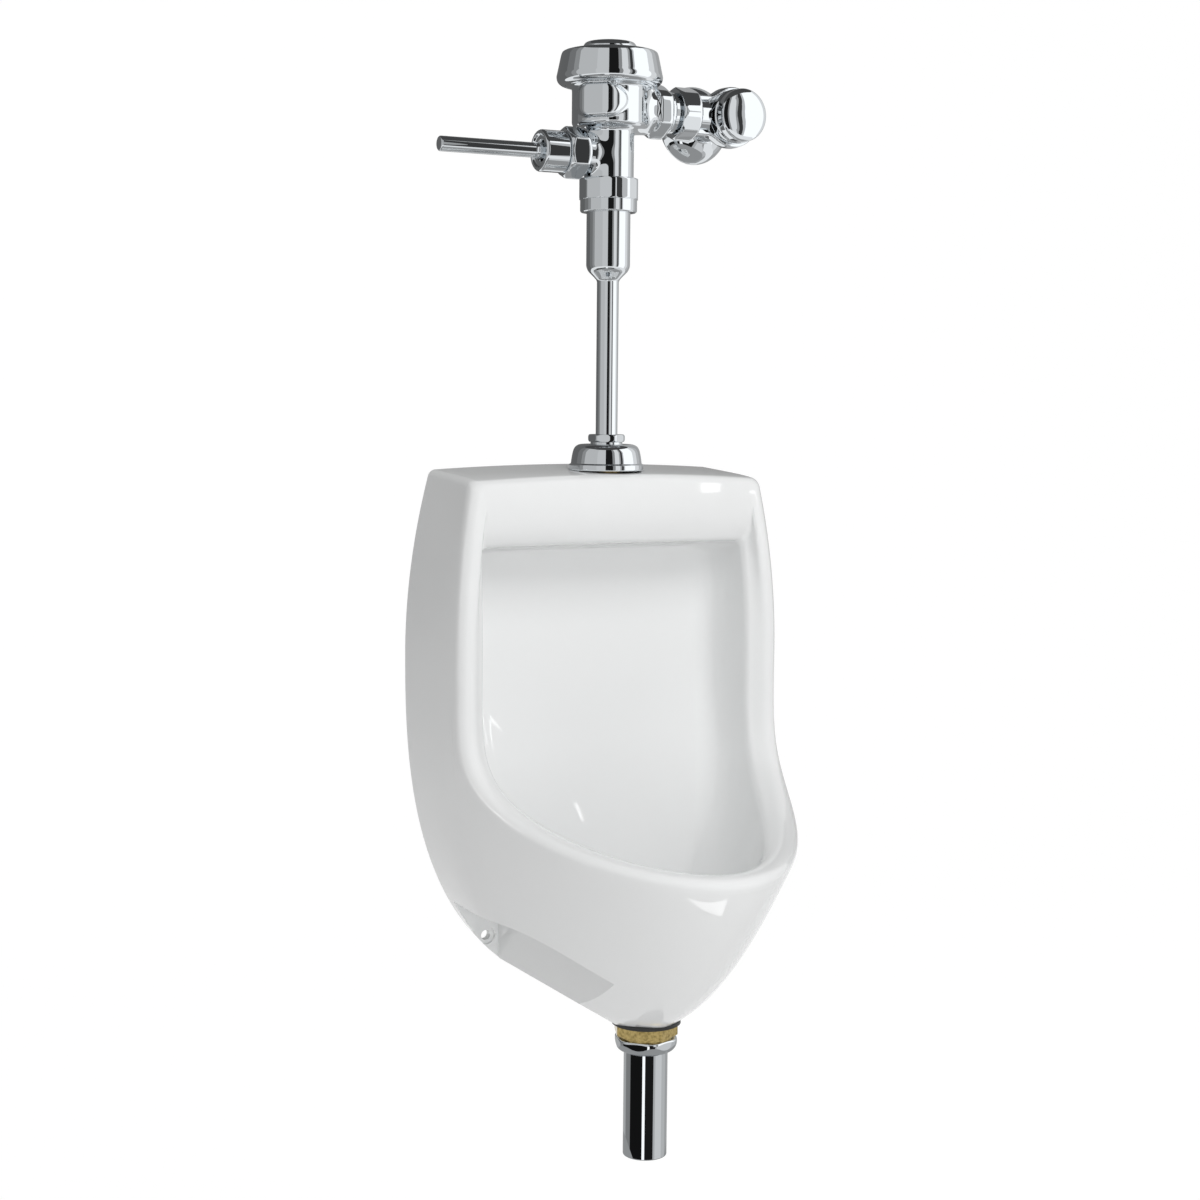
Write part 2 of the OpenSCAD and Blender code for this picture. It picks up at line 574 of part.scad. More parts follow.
// Inner cover over the diaphragm and chrome cap cover over both
inner_top = body_top + 16;
module inner_cover() color(plastic) at_valve() difference() {
    spin([[0, body_top + 3.1], [flange_r - 0.5, body_top + 3.1], [flange_r - 0.5, body_top + 6.2],
        [30, body_top + 6.2], [29, inner_top - 5], [24, inner_top], [0, inner_top]]);
    spin([[0, body_top + 3], [26, body_top + 3], [26, inner_top - 6], [22, inner_top - 2.5],
        [0, inner_top - 2.5]]);
}
cover_r = cover_d / 2;
cover_z0 = body_top - 9.2;
cover_top = supply_rise + 47.6;
button_r = 23.5;
module cap_cover() color(chrome) at_valve() difference() {
    spin([[0, cover_z0], [cover_r - 7, cover_z0], [cover_r - 3.6, cover_z0 + 0.8],
        [cover_r - 1.4, cover_z0 + 2.6], [cover_r - 0.3, cover_z0 + 5], [cover_r, cover_z0 + 7.6],
        [cover_r - 0.6, cover_z0 + 10], [cover_r - 3.6, cover_top - 5], [cover_r - 4.6, cover_top - 2.2],
        [cover_r - 6.6, cover_top - 0.5], [cover_r - 9, cover_top], [button_r + 0.4, cover_top + 0.4],
        [button_r, cover_top + 4], [button_r - 2.2, cover_top + 7.1], [button_r - 4, cover_top + 7.6],
        [0, cover_top + 7.6]]);
    disc(flange_r + 0.3, cover_z0 - 1, body_top + 6.3);
    disc(32, body_top + 6, inner_top + 0.6);
}

// Lever side: bushing, plunger with its spring, hexagon nut, round socket and the lever on its ball
nut_x0 = 26;
nut_x1 = 45;
socket_x1 = 68;
ball_r = 11;
ball_x = 56;
foot_x = ball_x - 6;
head_x1 = foot_x - 0.3;
head_x0 = head_x1 - 2.5;
plunger_r = 3.2;
flange_x0 = boss_end + 1.2;
flange_x1 = flange_x0 + 2.4;
module at_lever() { at_valve() translate([0, 0, lever_z]) rotate([0, -90, 0]) children(); }
module handle_gasket() color(rubber) at_lever()
    ring(boss_r - 0.8, 7.8, boss_end + seat_gap, flange_x0 - seat_gap);
module handle_bushing() color(plastic) at_lever() difference() {
    union() {
        disc(7.4, 21, flange_x0 + 1);
        disc(boss_r - 0.8, flange_x0, flange_x1);
    }
    disc(plunger_r + run_gap, 10, 60);
}
module plunger() color(brass) at_lever() {
    disc(plunger_r, stem_r + 0.3, head_x0 + 1);
    disc(8, head_x0, head_x1);
}
module handle_nut() color(chrome) at_lever() difference() {
    intersection() {
        rotate(30) hex(39.5, nut_x0, nut_x1);
        spin([[0, nut_x0], [19.6, nut_x0], [23.2, nut_x0 + 3.2], [23.2, nut_x1 - 3.2],
            [19.6, nut_x1], [0, nut_x1]]);
    }
    disc(boss_r + 1.2, nut_x0 - 1, boss_x + 0.2);
    disc(boss_r - 0.5, nut_x0 - 1, nut_x1 + 1);
}
module handle_collar() color(chrome) at_lever() difference() {
    union() {
        spin([[0, nut_x1 + seat_gap], [17, nut_x1 + seat_gap], [17.75, nut_x1 + 0.9],
            [17.75, socket_x1 - 1.6], [16.4, socket_x1], [14.6, socket_x1], [12.6, socket_x1 - 2.2],
            [0, socket_x1 - 2.2]]);
        disc(boss_r - 0.6, flange_x1 + seat_gap, nut_x1 + 1);
    }
    disc(11.6, flange_x1 - 1, ball_x + 5);
    translate([0, 0, ball_x]) sphere(r = ball_r + run_gap);
    spin([[0, ball_x + 4], [8.4, ball_x + 4], [8.4, ball_x + 8], [10, socket_x1 + 1], [0, socket_x1 + 1]]);
}
module lever() color(chrome) at_lever() {
    difference() {
        translate([0, 0, ball_x]) sphere(r = ball_r);
        disc(ball_r + 1, foot_x - 10, foot_x);
    }
    spin([[0, ball_x + 6], [6.9, ball_x + 6], [6.9, socket_x1 + 1], [lever_d / 2, socket_x1 + 3.4],
        [lever_d / 2, socket_x1 + lever_len - 1], [lever_d / 2 - 1, socket_x1 + lever_len],
        [0, socket_x1 + lever_len]]);
}

// Coil of round wire as one unbroken tube, with its ends ground to the mean height
coil_sides = 6;
coil_steps = 10;
module coil(r, wire, z0, z1, turns) {
    n = turns * coil_steps;
    polyhedron(
        points = [for (i = [0:n]) for (j = [0:coil_sides - 1])
            let (a = i * 360 / coil_steps, b = j * 360 / coil_sides, rr = r + wire * cos(b))
            [rr * cos(a), rr * sin(a), z0 + wire + (z1 - z0 - 2 * wire) * i / n + wire * sin(b)]],
        faces = concat(
            [[for (j = [0:coil_sides - 1]) j]],
            [for (i = [0:n - 1]) for (j = [0:coil_sides - 1]) let (k = (j + 1) % coil_sides)
                [i * coil_sides + j, (i + 1) * coil_sides + j, (i + 1) * coil_sides + k]],
            [for (i = [0:n - 1]) for (j = [0:coil_sides - 1]) let (k = (j + 1) % coil_sides)
                [i * coil_sides + j, (i + 1) * coil_sides + k, i * coil_sides + k]],
            [[for (j = [coil_sides - 1:-1:0]) n * coil_sides + j]]
        ),
        convexity = 10
    );
}
module plunger_spring() color(steel) at_lever() coil(5.4, 0.6, flange_x1 + seat_gap, head_x0 - seat_gap, 4);

// Supply side: tail tube, seal and nut, then the control stop in front of the wall flange
nut2_x0 = 63;
nut2_x1 = 82;
tail_r = 14.2;
tail_end = 26;
module at_arm() { at_valve() translate([0, 0, supply_rise]) along_x() children(); }
module tail_tube() color(chrome) at_arm() difference() {
    union() {
        disc(15.1, chamber_d / 2 + 4, arm_x + 1);
        disc(18, arm_x + seat_gap, arm_x + 4);
        disc(tail_r, arm_x + 3, stop_reach - tail_end);
    }
    disc(11.5, 0, stop_reach);
}
stop_arm_x = 71;
module tail_seal() color(rubber) at_arm()
    ring(18.3, tail_r + seat_gap, stop_arm_x - 4, stop_arm_x - seat_gap);
module tail_nut() color(chrome) at_arm() difference() {
    rotate(22.5) hex_round(43.4, nut2_x0, nut2_x1, 8);
    disc(tail_r + 0.3, nut2_x0 - 1, nut2_x1);
    disc(18.6, stop_arm_x - 4.1, nut2_x1 + 1);
}

// Control stop: f is the distance forward from the valve's own plane
module at_front() { at_stop() along_front() children(); }
stop_rear = -36;
seat_f = -8;
stop_front = 8;
module stop_body() color(chrome) at_front() difference() {
    union() {
        spin([[0, stop_rear], [16.4, stop_rear], [17.4, stop_rear + 1], [17.4, -24], [20, -20], [22.5, -12],
            [24.5, -4], [26.2, -1.5], [26.5, 0], [26.5, stop_front - 1], [25.5, stop_front],
            [0, stop_front]]);
        rotate([0, -90, 0]) difference() {
            disc(18.5, 10, stop_reach - stop_arm_x);
            translate([stop_front, -30, 0]) cube([30, 60, cap_r + 1.4]);
        }
    }
    disc(12.5, stop_rear - 1, stop_rear + 15);
    disc(9, stop_rear, 0);
    disc(19, seat_f, stop_front + 1);
    rotate([0, -90, 0]) {
        disc(7.4, 5, 40);
        disc(tail_r + run_gap, tail_end - seat_gap, stop_reach);
    }
}
module stop_piston() color(brass) at_front() difference() {
    union() {
        disc(11.5, seat_f + seat_gap, seat_f + 4);
        disc(7.8, seat_f + 3, seat_f + 14);
    }
    disc(5 + run_gap, seat_f + 1, seat_f + 15);
}
module stop_bonnet() color(brass) at_front() difference() {
    union() {
        disc(18.8, stop_front - 3, stop_front);
        disc(23, stop_front + seat_gap, stop_front + 3);
        disc(11, stop_front + 2, stop_front + 12);
        disc(18.8, stop_front - 1, stop_front + 1);
    }
    disc(8.2, stop_front - 4, stop_front + 9);
    disc(5 + run_gap, stop_front, stop_front + 13);
}
module stop_screw() color(brass) at_front() difference() {
    union() {
        disc(5, seat_f + 9.2, stop_front + 14);
        disc(7.6, stop_front + 7, stop_front + 8.9);
    }
    translate([-6, -0.6, stop_front + 12.4]) cube([12, 1.2, 3]);
}
module stop_spring() color(steel) at_front() coil(10, 0.9, seat_f + 4.1, stop_front - 3.1, 3);
cap_r = cap_d / 2;
cap_f1 = 31;
module stop_cap() color(chrome) at_front() difference() {
    spin([[0, stop_front + 3.1], [cap_r, stop_front + 3.1], [cap_r + 0.6, stop_front + 4],
        [cap_r + 0.6, stop_front + 7],
        [cap_r - 0.6, stop_front + 8], [cap_r - 0.6, stop_front + 9], [cap_r, stop_front + 10],
        [cap_r, cap_f1 - 6], [cap_r - 0.7, cap_f1 - 4.4], [cap_r - 4, cap_f1 - 2.6],
        [cap_r - 10, cap_f1 - 0.9], [cap_r - 16, cap_f1 - 0.2], [0, cap_f1]]);
    disc(cap_r - 2.4, 0, cap_f1 - 6);
}

// Tube over the supply pipe and the flange on the wall with its set screw
module covering_tube() color(chrome) at_front() ring(16.2, 15, 0.4 - spud_y, stop_rear - seat_gap);
wall_r = wall_flange_d / 2;
flange_f = 21;
module wall_flange() color(chrome) at_front() translate([0, 0, -spud_y]) difference() {
    spin([[0, 0], [wall_r, 0], [wall_r, 1.6], [wall_r - 1.4, 6], [wall_r - 4.4, 11], [wall_r - 9, 15.5],
        [wall_r - 14, 18.6], [17.9, flange_f - 0.6], [17.4, flange_f], [0, flange_f]]);
    spin([[0, -1], [wall_r - 1.5, -1], [wall_r - 3, 6], [wall_r - 6, 10.4], [wall_r - 11, 14.6],
        [16.4, 17.4], [0, 17.4]]);
    disc(16.2 + seat_gap, -1, flange_f + 1);
    rotate(-90) translate([12, 0, 18.2]) rotate([0, 90, 0]) cylinder(r = 1.5, h = 12, $fn = 24);
}
module flange_screw() color(steel) at_front() translate([0, 0, -spud_y])
    rotate(-90) translate([16.4, 0, 18.2]) rotate([0, 90, 0]) cylinder(r = 1.4, h = 3.4, $fn = 24);

bowl();
hanger_left();
hanger_right();
strainer();
strainer_screw();
outlet_spud();
outlet_gasket();
outlet_locknut();
slip_washer();
slip_nut();
tailpiece();
inlet_spud();
inlet_gasket();
inlet_locknut();
spud_packing();
spud_nut();
bell_flange();
flush_tube();
vacuum_breaker();
tube_gasket();
outlet_coupling();
valve_body();
inner_cover();
cap_cover();
diaphragm();
flush_guide();
relief_valve();
handle_gasket();
handle_bushing();
handle_nut();
handle_collar();
lever();
plunger();
plunger_spring();
tail_tube();
tail_seal();
tail_nut();
stop_body();
stop_bonnet();
stop_screw();
stop_piston();
stop_spring();
stop_cap();
covering_tube();
wall_flange();
flange_screw();
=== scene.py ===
"""Look of a wall-hung washout urinal: glazed china, chrome flush valve, studio light and camera."""
import json
import math

import bmesh
import bpy
import numpy as np
from mathutils import Matrix, Vector


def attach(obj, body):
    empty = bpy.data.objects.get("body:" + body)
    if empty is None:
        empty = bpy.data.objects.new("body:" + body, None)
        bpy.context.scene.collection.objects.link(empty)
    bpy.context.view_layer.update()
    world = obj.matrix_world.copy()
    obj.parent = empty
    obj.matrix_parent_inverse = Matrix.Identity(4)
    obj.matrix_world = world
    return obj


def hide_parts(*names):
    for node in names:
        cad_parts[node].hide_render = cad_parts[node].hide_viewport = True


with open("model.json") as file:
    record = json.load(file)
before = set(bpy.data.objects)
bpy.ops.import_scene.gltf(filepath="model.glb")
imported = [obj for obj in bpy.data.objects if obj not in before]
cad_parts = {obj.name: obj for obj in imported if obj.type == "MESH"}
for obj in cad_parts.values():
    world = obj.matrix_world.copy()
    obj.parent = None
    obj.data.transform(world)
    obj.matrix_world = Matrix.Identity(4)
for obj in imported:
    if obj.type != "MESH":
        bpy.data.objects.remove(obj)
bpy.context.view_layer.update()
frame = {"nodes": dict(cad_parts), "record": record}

MM = 0.001
TOP = 60.0          # mm, the china's top above the part's origin
SPUD_Y = 63.6       # mm, the valve's axis from the wall
OUTLET_Y = 146.0    # mm, the outlet's axis from the wall


# ---------------------------------------------------------------- materials
def linear(code):
    """sRGB hex to linear RGBA."""
    parts = [int(code[i:i + 2], 16) / 255 for i in (1, 3, 5)]
    return [p / 12.92 if p <= 0.04045 else ((p + 0.055) / 1.055) ** 2.4 for p in parts] + [1.0]


def add(tree, kind, links=(), **settings):
    """Adds one node. Settings whose name is a socket set that socket, others set the node itself;
    links are (input socket, node, output socket)."""
    n = tree.nodes.new(kind)
    for key, value in settings.items():
        name = key.replace("_", " ")
        socket = next((s for s in n.inputs if s.name.lower() == name.lower()), None)
        if socket is not None:
            socket.default_value = value
        else:
            setattr(n, key, value)
    for socket, source, output in links:
        tree.links.new(source.outputs[output], n.inputs[socket])
    return n


def finish(name, colour, metallic=0.0, roughness=0.3, ior=None, bump=None, wear=None):
    """A surface finish. bump is (grain in mm, height in mm, detail); wear is (second colour,
    grain in mm, share) for a cloudy change of colour."""
    mat = bpy.data.materials.new(name)
    mat.use_nodes = True
    tree = mat.node_tree
    tree.nodes.clear()
    settings = dict(Base_Color=linear(colour), Metallic=metallic, Roughness=roughness)
    if ior:
        settings["IOR"] = ior
    shader = add(tree, "ShaderNodeBsdfPrincipled", **settings)
    place = add(tree, "ShaderNodeTexCoord")
    if bump:
        grain, height, detail = bump
        noise = add(tree, "ShaderNodeTexNoise", [("Vector", place, "Object")],
                    Scale=1 / (grain * MM), Detail=detail)
        relief = add(tree, "ShaderNodeBump", [("Height", noise, "Fac")],
                     Strength=1.0, Distance=height * MM)
        tree.links.new(relief.outputs["Normal"], shader.inputs["Normal"])
    if wear:
        second, grain, share = wear
        cloud = add(tree, "ShaderNodeTexNoise", [("Vector", place, "Object")],
                    Scale=1 / (grain * MM), Detail=4.0)
        mask = add(tree, "ShaderNodeMapRange", [("Value", cloud, "Fac")],
                   From_Min=0.62 - share, From_Max=0.72)
        mix = add(tree, "ShaderNodeMix", data_type="RGBA")
        mix.inputs[6].default_value = linear(colour)
        mix.inputs[7].default_value = linear(second)
        tree.links.new(mask.outputs["Result"], mix.inputs[0])
        tree.links.new(mix.outputs[2], shader.inputs["Base Color"])
    add(tree, "ShaderNodeOutputMaterial", [("Surface", shader, "BSDF")])
    return mat


# Vitreous china under a poured, fired glaze: a plain white with deep gloss, and the faint waves
# of a glaze that ran while it melted
china = finish("glazed_vitreous_china", "#ebecec", roughness=0.05, ior=1.52, bump=(38.0, 0.05, 1.0))
# Polished chrome plate over brass: a true mirror, a little darker than what it shows
chrome = finish("polished_chrome_plate", "#dfe3e6", metallic=1.0, roughness=0.0)
# Turned brass, left unplated: pale olive gold with duller clouds. Its turning marks, like the
# grain of the rubber and the steel below, are drawn coarser than real, so that they show
brass = finish("turned_raw_brass", "#a89563", metallic=1.0, roughness=0.16,
               wear=("#77673c", 3.0, 0.2), bump=(0.6, 0.003, 2.0))
# Moulded black rubber: matt, with a fine grain
rubber = finish("moulded_black_rubber", "#121212", roughness=0.55, bump=(0.8, 0.02, 2.0))
# Stamped stainless steel: grey, half matt, with a fine grain
steel = finish("stamped_stainless_steel", "#a9abad", metallic=1.0, roughness=0.3,
               bump=(0.7, 0.006, 2.0))
# Moulded acetal inside the valve: smooth and nearly black
acetal = finish("moulded_dark_acetal", "#2a2d36", roughness=0.4)

BY_SLOT = {"vitreous_china": china, "chrome_plate": chrome, "raw_brass": brass, "rubber": rubber,
           "stainless_steel": steel, "valve_plastic": acetal}
slot_of = {s["node"]: s["material_slot"] for s in frame["record"]["subparts"]}
for node, obj in frame["nodes"].items():
    material = BY_SLOT[slot_of[node]]
    if obj.data.materials:
        for i in range(len(obj.data.materials)):
            obj.material_slots[i].material = material
    else:
        obj.data.materials.append(material)


# ---------------------------------------------------------------- the china body
MID_Z = -160.0      # mm, where each ring is widest, from the china's top
TOP_STEPS, CORNER_STEPS, SIDE_STEPS, LOW_STEPS = 14, 10, 22, 62


def ring_half(r):
    """Right half of one closed ring from the top middle to the bottom middle, as in the part's
    source: a rounded frame above MID_Z that narrows with the square of the height, and below it
    x = W (1 - g^q)^(1/p), depth = side + (bottom - side) g^m, height falling evenly with g. r is
    (half width, top, bottom, side's depth, bottom's depth, p, q, m, corner radius, taper, bow,
    crown), with all lengths in mm."""
    w, top, bottom, ys, yb, p, q, m, cr, taper, bow, crown = r

    def rise(z):
        """Square of the height above MID_Z, as a share of the whole."""
        return np.clip((z - MID_Z) / (top - MID_Z), 0, None) ** 2

    def depth(z, x):
        """Depth of the frame: it leans back with the rise and bows outwards in the middle."""
        return -(ys * (1 - 0.09 * rise(z))) - bow * (1 - np.clip(x / w, 0, 1) ** 2)

    def arch(x):
        """Parabola by which the top stands higher in the middle."""
        return 4 * crown * (1 - np.clip(x / w, 0, 1) ** 2)

    t = np.arange(TOP_STEPS) / TOP_STEPS
    x1 = (w * (1 - taper) - cr) * t
    z1 = np.full_like(x1, top)
    a = np.radians(90 * (1 - np.arange(CORNER_STEPS + 1) / CORNER_STEPS))
    z2 = top - cr * (1 - np.sin(a))
    x2 = w * (1 - taper * rise(z2)) - cr * (1 - np.cos(a))
    s = np.arange(1, SIDE_STEPS + 1) / SIDE_STEPS
    z3 = top - cr + (MID_Z - top + cr) * s
    x3 = w * (1 - taper * rise(z3))
    fade = (1 - s) ** 2
    g = 1 - (1 - np.arange(1, LOW_STEPS + 1) / LOW_STEPS) ** 2.2
    x4 = w * np.clip(1 - g ** q, 0, None) ** (1 / p)
    y4 = -(ys + (yb - ys) * g ** m)
    z4 = MID_Z + (bottom - MID_Z) * g
    return np.column_stack([
        np.concatenate([x1, x2, x3, x4]),
        np.concatenate([depth(z1, x1), depth(z2, x2), depth(z3, x3), y4]),
        np.concatenate([z1 + arch(x1), z2 + arch(x2), z3 + arch(x3) * fade, z4])])


def ring(*r):
    """Closed ring: the right half and its mirror image."""
    h = ring_half(r)
    return np.concatenate([h, h[-2:0:-1] * [-1, 1, 1]])


def bezier(a, b, c, d, n):
    """Rings between a and d on a cubic curve with b and c as its handles."""
    f = np.linspace(0, 1, n)[:, None, None]
    return list((1 - f) ** 3 * a + 3 * f * (1 - f) ** 2 * b + 3 * f * f * (1 - f) * c + f ** 3 * d)


def smooth(rings, n):
    """n rings in each gap of a list, on a curve whose slope at a ring weighs both gaps beside it
    by the other one's length. The first and last ring only steer."""
    out = []
    p = np.array(rings)
    gap = np.maximum(np.linalg.norm(np.diff(p, axis=0), axis=2, keepdims=True), 1e-6)
    slope = ((p[1:-1] - p[:-2]) / gap[:-1] * gap[1:] + (p[2:] - p[1:-1]) / gap[1:] * gap[:-1]) \
        / (gap[:-1] + gap[1:])
    for i in range(len(slope) - 1):
        h = gap[i + 1]
        for t in np.arange(n) / n:
            out.append((2 * t ** 3 - 3 * t ** 2 + 1) * p[i + 1]
                       + (t ** 3 - 2 * t ** 2 + t) * h * slope[i]
                       + (3 * t ** 2 - 2 * t ** 3) * p[i + 2]
                       + (t ** 3 - t ** 2) * h * slope[i + 1])
    out.append(p[-2])
    return out


# Sizes of the china in mm, as in the part's source
HALF_W, REACH, SIDE = 164.0, 300.0, 103.6      # half width, depth at the lip, depth of the frame
BAND, NICHE, SHELL = 62.0, 38.0, 11.0          # band over the niche, its back from the wall, wall
OUTLET_Z = -468.0
RIM, RIM_Z = HALF_W - 8.7, OUTLET_Z + 149.4    # half width and height of the rim's outer edge
OPEN = RIM - 25.0                              # half width of the niche's opening
BOW = 9.0                                      # how far the front bows outwards
PANEL = BAND + 20                              # top of the hollow back
FRONT = (1.96, 6, 5.04, 7, 0.103, BOW)         # curve of the rim, see ring_half
INNER = (0.02, BOW - 1)                        # taper and bow of the lip's inner edge


def china_rings():
    """All rings from the hollow back's middle over the wall edge, the outside, the frame and the
    niche to the niche's middle. The outside and the niche's wall are cubic curves between rings,
    the rim is a smooth curve through its rings, and the niche's back shrinks towards a point."""
    wall = ring(HALF_W, 0, OUTLET_Z + 3, 0, 0, 2, 2.6, 1, 5, 0.14, 0, 1.4)
    skin1 = ring(HALF_W - 2, -2, OUTLET_Z - 30, SIDE * 0.35, OUTLET_Y * 0.7,
                 1.6, 2.7, 1.2, 5, 0.135, 3, 1.4)
    skin2 = ring(HALF_W - 4, -4, OUTLET_Z - 52, SIDE * 0.7, OUTLET_Y + 46,
                 1.3, 3.1, 2.4, 6, 0.12, 7, 1.5)
    edge = ring(RIM + 3, -6, RIM_Z - 7, SIDE - 15, REACH - 1.5, *FRONT, 1.6)
    round1 = ring(RIM + 1.2, -7.5, RIM_Z, SIDE - 6, REACH, *FRONT, 1.6)
    round2 = ring(RIM - 3.6, -10.5, RIM_Z + 4.2, SIDE - 1.2, REACH - 2.5, *FRONT, 1.6)
    face1 = ring(RIM - 8, -15, RIM_Z + 6, SIDE, REACH - 7, *FRONT, 1.4)
    face2 = ring(OPEN + 5.5, -BAND + 5.5, RIM_Z + 5.5, SIDE - 8, REACH - 19,
                 1.95, 5.8, 5, 5, 0.03, BOW - 1, 0.5)
    lip1 = ring(OPEN + 1.8, -BAND + 1.6, RIM_Z + 2.5, SIDE - 11, REACH - 23,
                1.94, 5.6, 5, 5, *INNER, 0.5)
    lip2 = ring(OPEN, -BAND, RIM_Z - 3.5, SIDE - 16, REACH - 27, 1.93, 5.4, 5, 6, *INNER, 0.4)
    wall_in = ring(OPEN - 1, -BAND - 1, OUTLET_Z + 94, NICHE + 26, OUTLET_Y + 100,
                   1.9, 3.6, 3.6, 9, 0.02, 4, 0.2)
    turn = ring(OPEN - 3, -BAND - 2, OUTLET_Z + 64, NICHE + 3, OUTLET_Y + 62,
                1.9, 2.6, 2.6, 14, 0.03, 1, 0)
    back = ring(OPEN - 22, -BAND - 7, OUTLET_Z + 46, NICHE + 0.6, OUTLET_Y - 2,
                2, 1.9, 1.9, 18, 0, 0, 0)
    tip_z = MID_Z - 60

    def shrink(r, s):
        """A ring drawn in to the share s about the niche's middle, its depth by the cube of s."""
        return np.column_stack([r[:, 0] * s, -NICHE + (r[:, 1] + NICHE) * s ** 3,
                                tip_z + (r[:, 2] - tip_z) * s])

    w = HALF_W - SHELL
    hollow = [ring(w - 3, -PANEL, OUTLET_Z + 104, 0, 0, 2.3, 2.6, 1, 12, 0.05, 0, 0),
              ring(w - 6, -PANEL, OUTLET_Z + 100, 9, 37, 2.3, 2.6, 1, 12, 0.05, 0, 0),
              ring(w - 12, -PANEL - 1, OUTLET_Z + 104, 19, 50, 2.2, 2.5, 3, 12, 0.05, 0, 0),
              ring(w - 34, -PANEL - 8, OUTLET_Z + 122, NICHE - SHELL, 34,
                   1.7, 1.8, 3, 20, 0, 0, 0)]
    for h in hollow:
        h[:, 1] = np.minimum(h[:, 1], 0)
    hollow_mid = np.array([0, -(NICHE - SHELL + 1), MID_Z - 40])
    rows = [hollow_mid + (hollow[3] - hollow_mid) * s for s in (0.3, 0.6)]
    rows += smooth([rows[-1], hollow[3], hollow[2], hollow[1], hollow[0], wall], 4)
    outer = bezier(wall, skin1, skin2, edge, 34)
    inner = bezier(lip2, wall_in, turn, back, 34)
    rows += [hollow[0] + (wall - hollow[0]) * s for s in (0.1, 0.5, 0.9)]
    rows += outer[:-1]
    rows += smooth([outer[-2], edge, round1, round2, face1, face2, lip1, lip2, inner[1]], 5)[:-1]
    rows += inner[:-1]
    rows += [shrink(back, s) for s in np.linspace(1, 0.03, 24)]
    rows = np.array(rows)
    rows[..., 1] = np.maximum(rows[..., 1], -REACH)
    return rows, hollow_mid, np.array([0, -NICHE, tip_z])


def mesh_object(name, points, faces, material):
    """New object at the world origin from points in mm, heights counted from the china's top."""
    mesh = bpy.data.meshes.new(name)
    place = (np.asarray(points) + [0, 0, TOP]) * MM
    mesh.from_pydata(place.tolist(), [], [list(f) for f in faces])
    mesh.update()
    obj = bpy.data.objects.new(name, mesh)
    bpy.context.scene.collection.objects.link(obj)
    mesh.materials.append(material)
    return obj


def china_body():
    """Closed sheet over china_rings, with a fan at each end."""
    rows, first, last = china_rings()
    k, n = rows.shape[:2]
    points = np.concatenate([rows.reshape(-1, 3), [first, last]])
    i = np.arange(n)
    j = (i + 1) % n
    faces = []
    for row in range(k - 1):
        a = row * n
        faces += np.column_stack([a + j, a + i, a + n + i, a + n + j]).tolist()
    faces += np.column_stack([i, j, np.full(n, k * n)]).tolist()
    faces += np.column_stack([(k - 1) * n + j, (k - 1) * n + i, np.full(n, k * n + 1)]).tolist()
    return mesh_object("china_body", points, faces, china)


body = china_body()
bm = bmesh.new()
bm.from_mesh(body.data)
bmesh.ops.remove_doubles(bm, verts=bm.verts, dist=1e-6)
bmesh.ops.recalc_face_normals(bm, faces=bm.faces)
bm.to_mesh(body.data)
bm.free()


# ---------------------------------------------------------------- cuts in the china
def cylinder(bm, radius, length, place, sides=96):
    """Closed cylinder about local Z from 0 to length, in millimetres, put in place by a matrix."""
    a = np.linspace(0, 2 * math.pi, sides, endpoint=False)
    ring_xy = np.column_stack([np.cos(a), np.sin(a)]) * radius
    low = [bm.verts.new(place @ Vector((x, y, 0))) for x, y in ring_xy]
    high = [bm.verts.new(place @ Vector((x, y, length))) for x, y in ring_xy]
    for i in range(sides):
        j = (i + 1) % sides
        bm.faces.new((low[i], low[j], high[j], high[i]))
    bm.faces.new(low[::-1])
    bm.faces.new(high)


def block(bm, low, high, place=Matrix()):
    """Closed box between two corners, in millimetres, put in place by a matrix."""
    c = [(x, y, z) for x in (low[0], high[0]) for y in (low[1], high[1]) for z in (low[2], high[2])]
    v = [bm.verts.new(place @ Vector(p)) for p in c]
    for f in ((0, 1, 3, 2), (4, 6, 7, 5), (0, 4, 5, 1), (2, 3, 7, 6), (0, 2, 6, 4), (1, 5, 7, 3)):
        bm.faces.new([v[i] for i in f])


FRONTWARD = Matrix.Rotation(math.radians(90), 4, "X")


def at(x, y, z):
    """Shift by millimetres."""
    return Matrix.Translation((x, y, z))


def turned(bm, profile, x, y, sides=96):
    """Closed solid turned about an upright axis from (radius, height) pairs, whose first and last
    lie on the axis."""
    a = np.linspace(0, 2 * math.pi, sides, endpoint=False)
    rows = [[bm.verts.new((x + r * math.cos(t), y + r * math.sin(t), z)) for t in a]
            for r, z in profile[1:-1]]
    ends = [bm.verts.new((x, y, profile[k][1])) for k in (0, -1)]
    for low, high in zip(rows, rows[1:]):
        for i in range(sides):
            j = (i + 1) % sides
            bm.faces.new((low[i], low[j], high[j], high[i]))
    for i in range(sides):
        j = (i + 1) % sides
        bm.faces.new((ends[0], rows[0][j], rows[0][i]))
        bm.faces.new((ends[1], rows[-1][i], rows[-1][j]))


def cutter(build, name):
    """Object from a function that fills a bmesh in mm, heights counted from the china's top."""
    bm = bmesh.new()
    build(bm)
    bmesh.ops.recalc_face_normals(bm, faces=bm.faces)
    for v in bm.verts:
        v.co = (v.co + Vector((0, 0, TOP))) * MM
    mesh = bpy.data.meshes.new(name)
    bm.to_mesh(mesh)
    bm.free()
    obj = bpy.data.objects.new(name, mesh)
    bpy.context.scene.collection.objects.link(obj)
    return obj


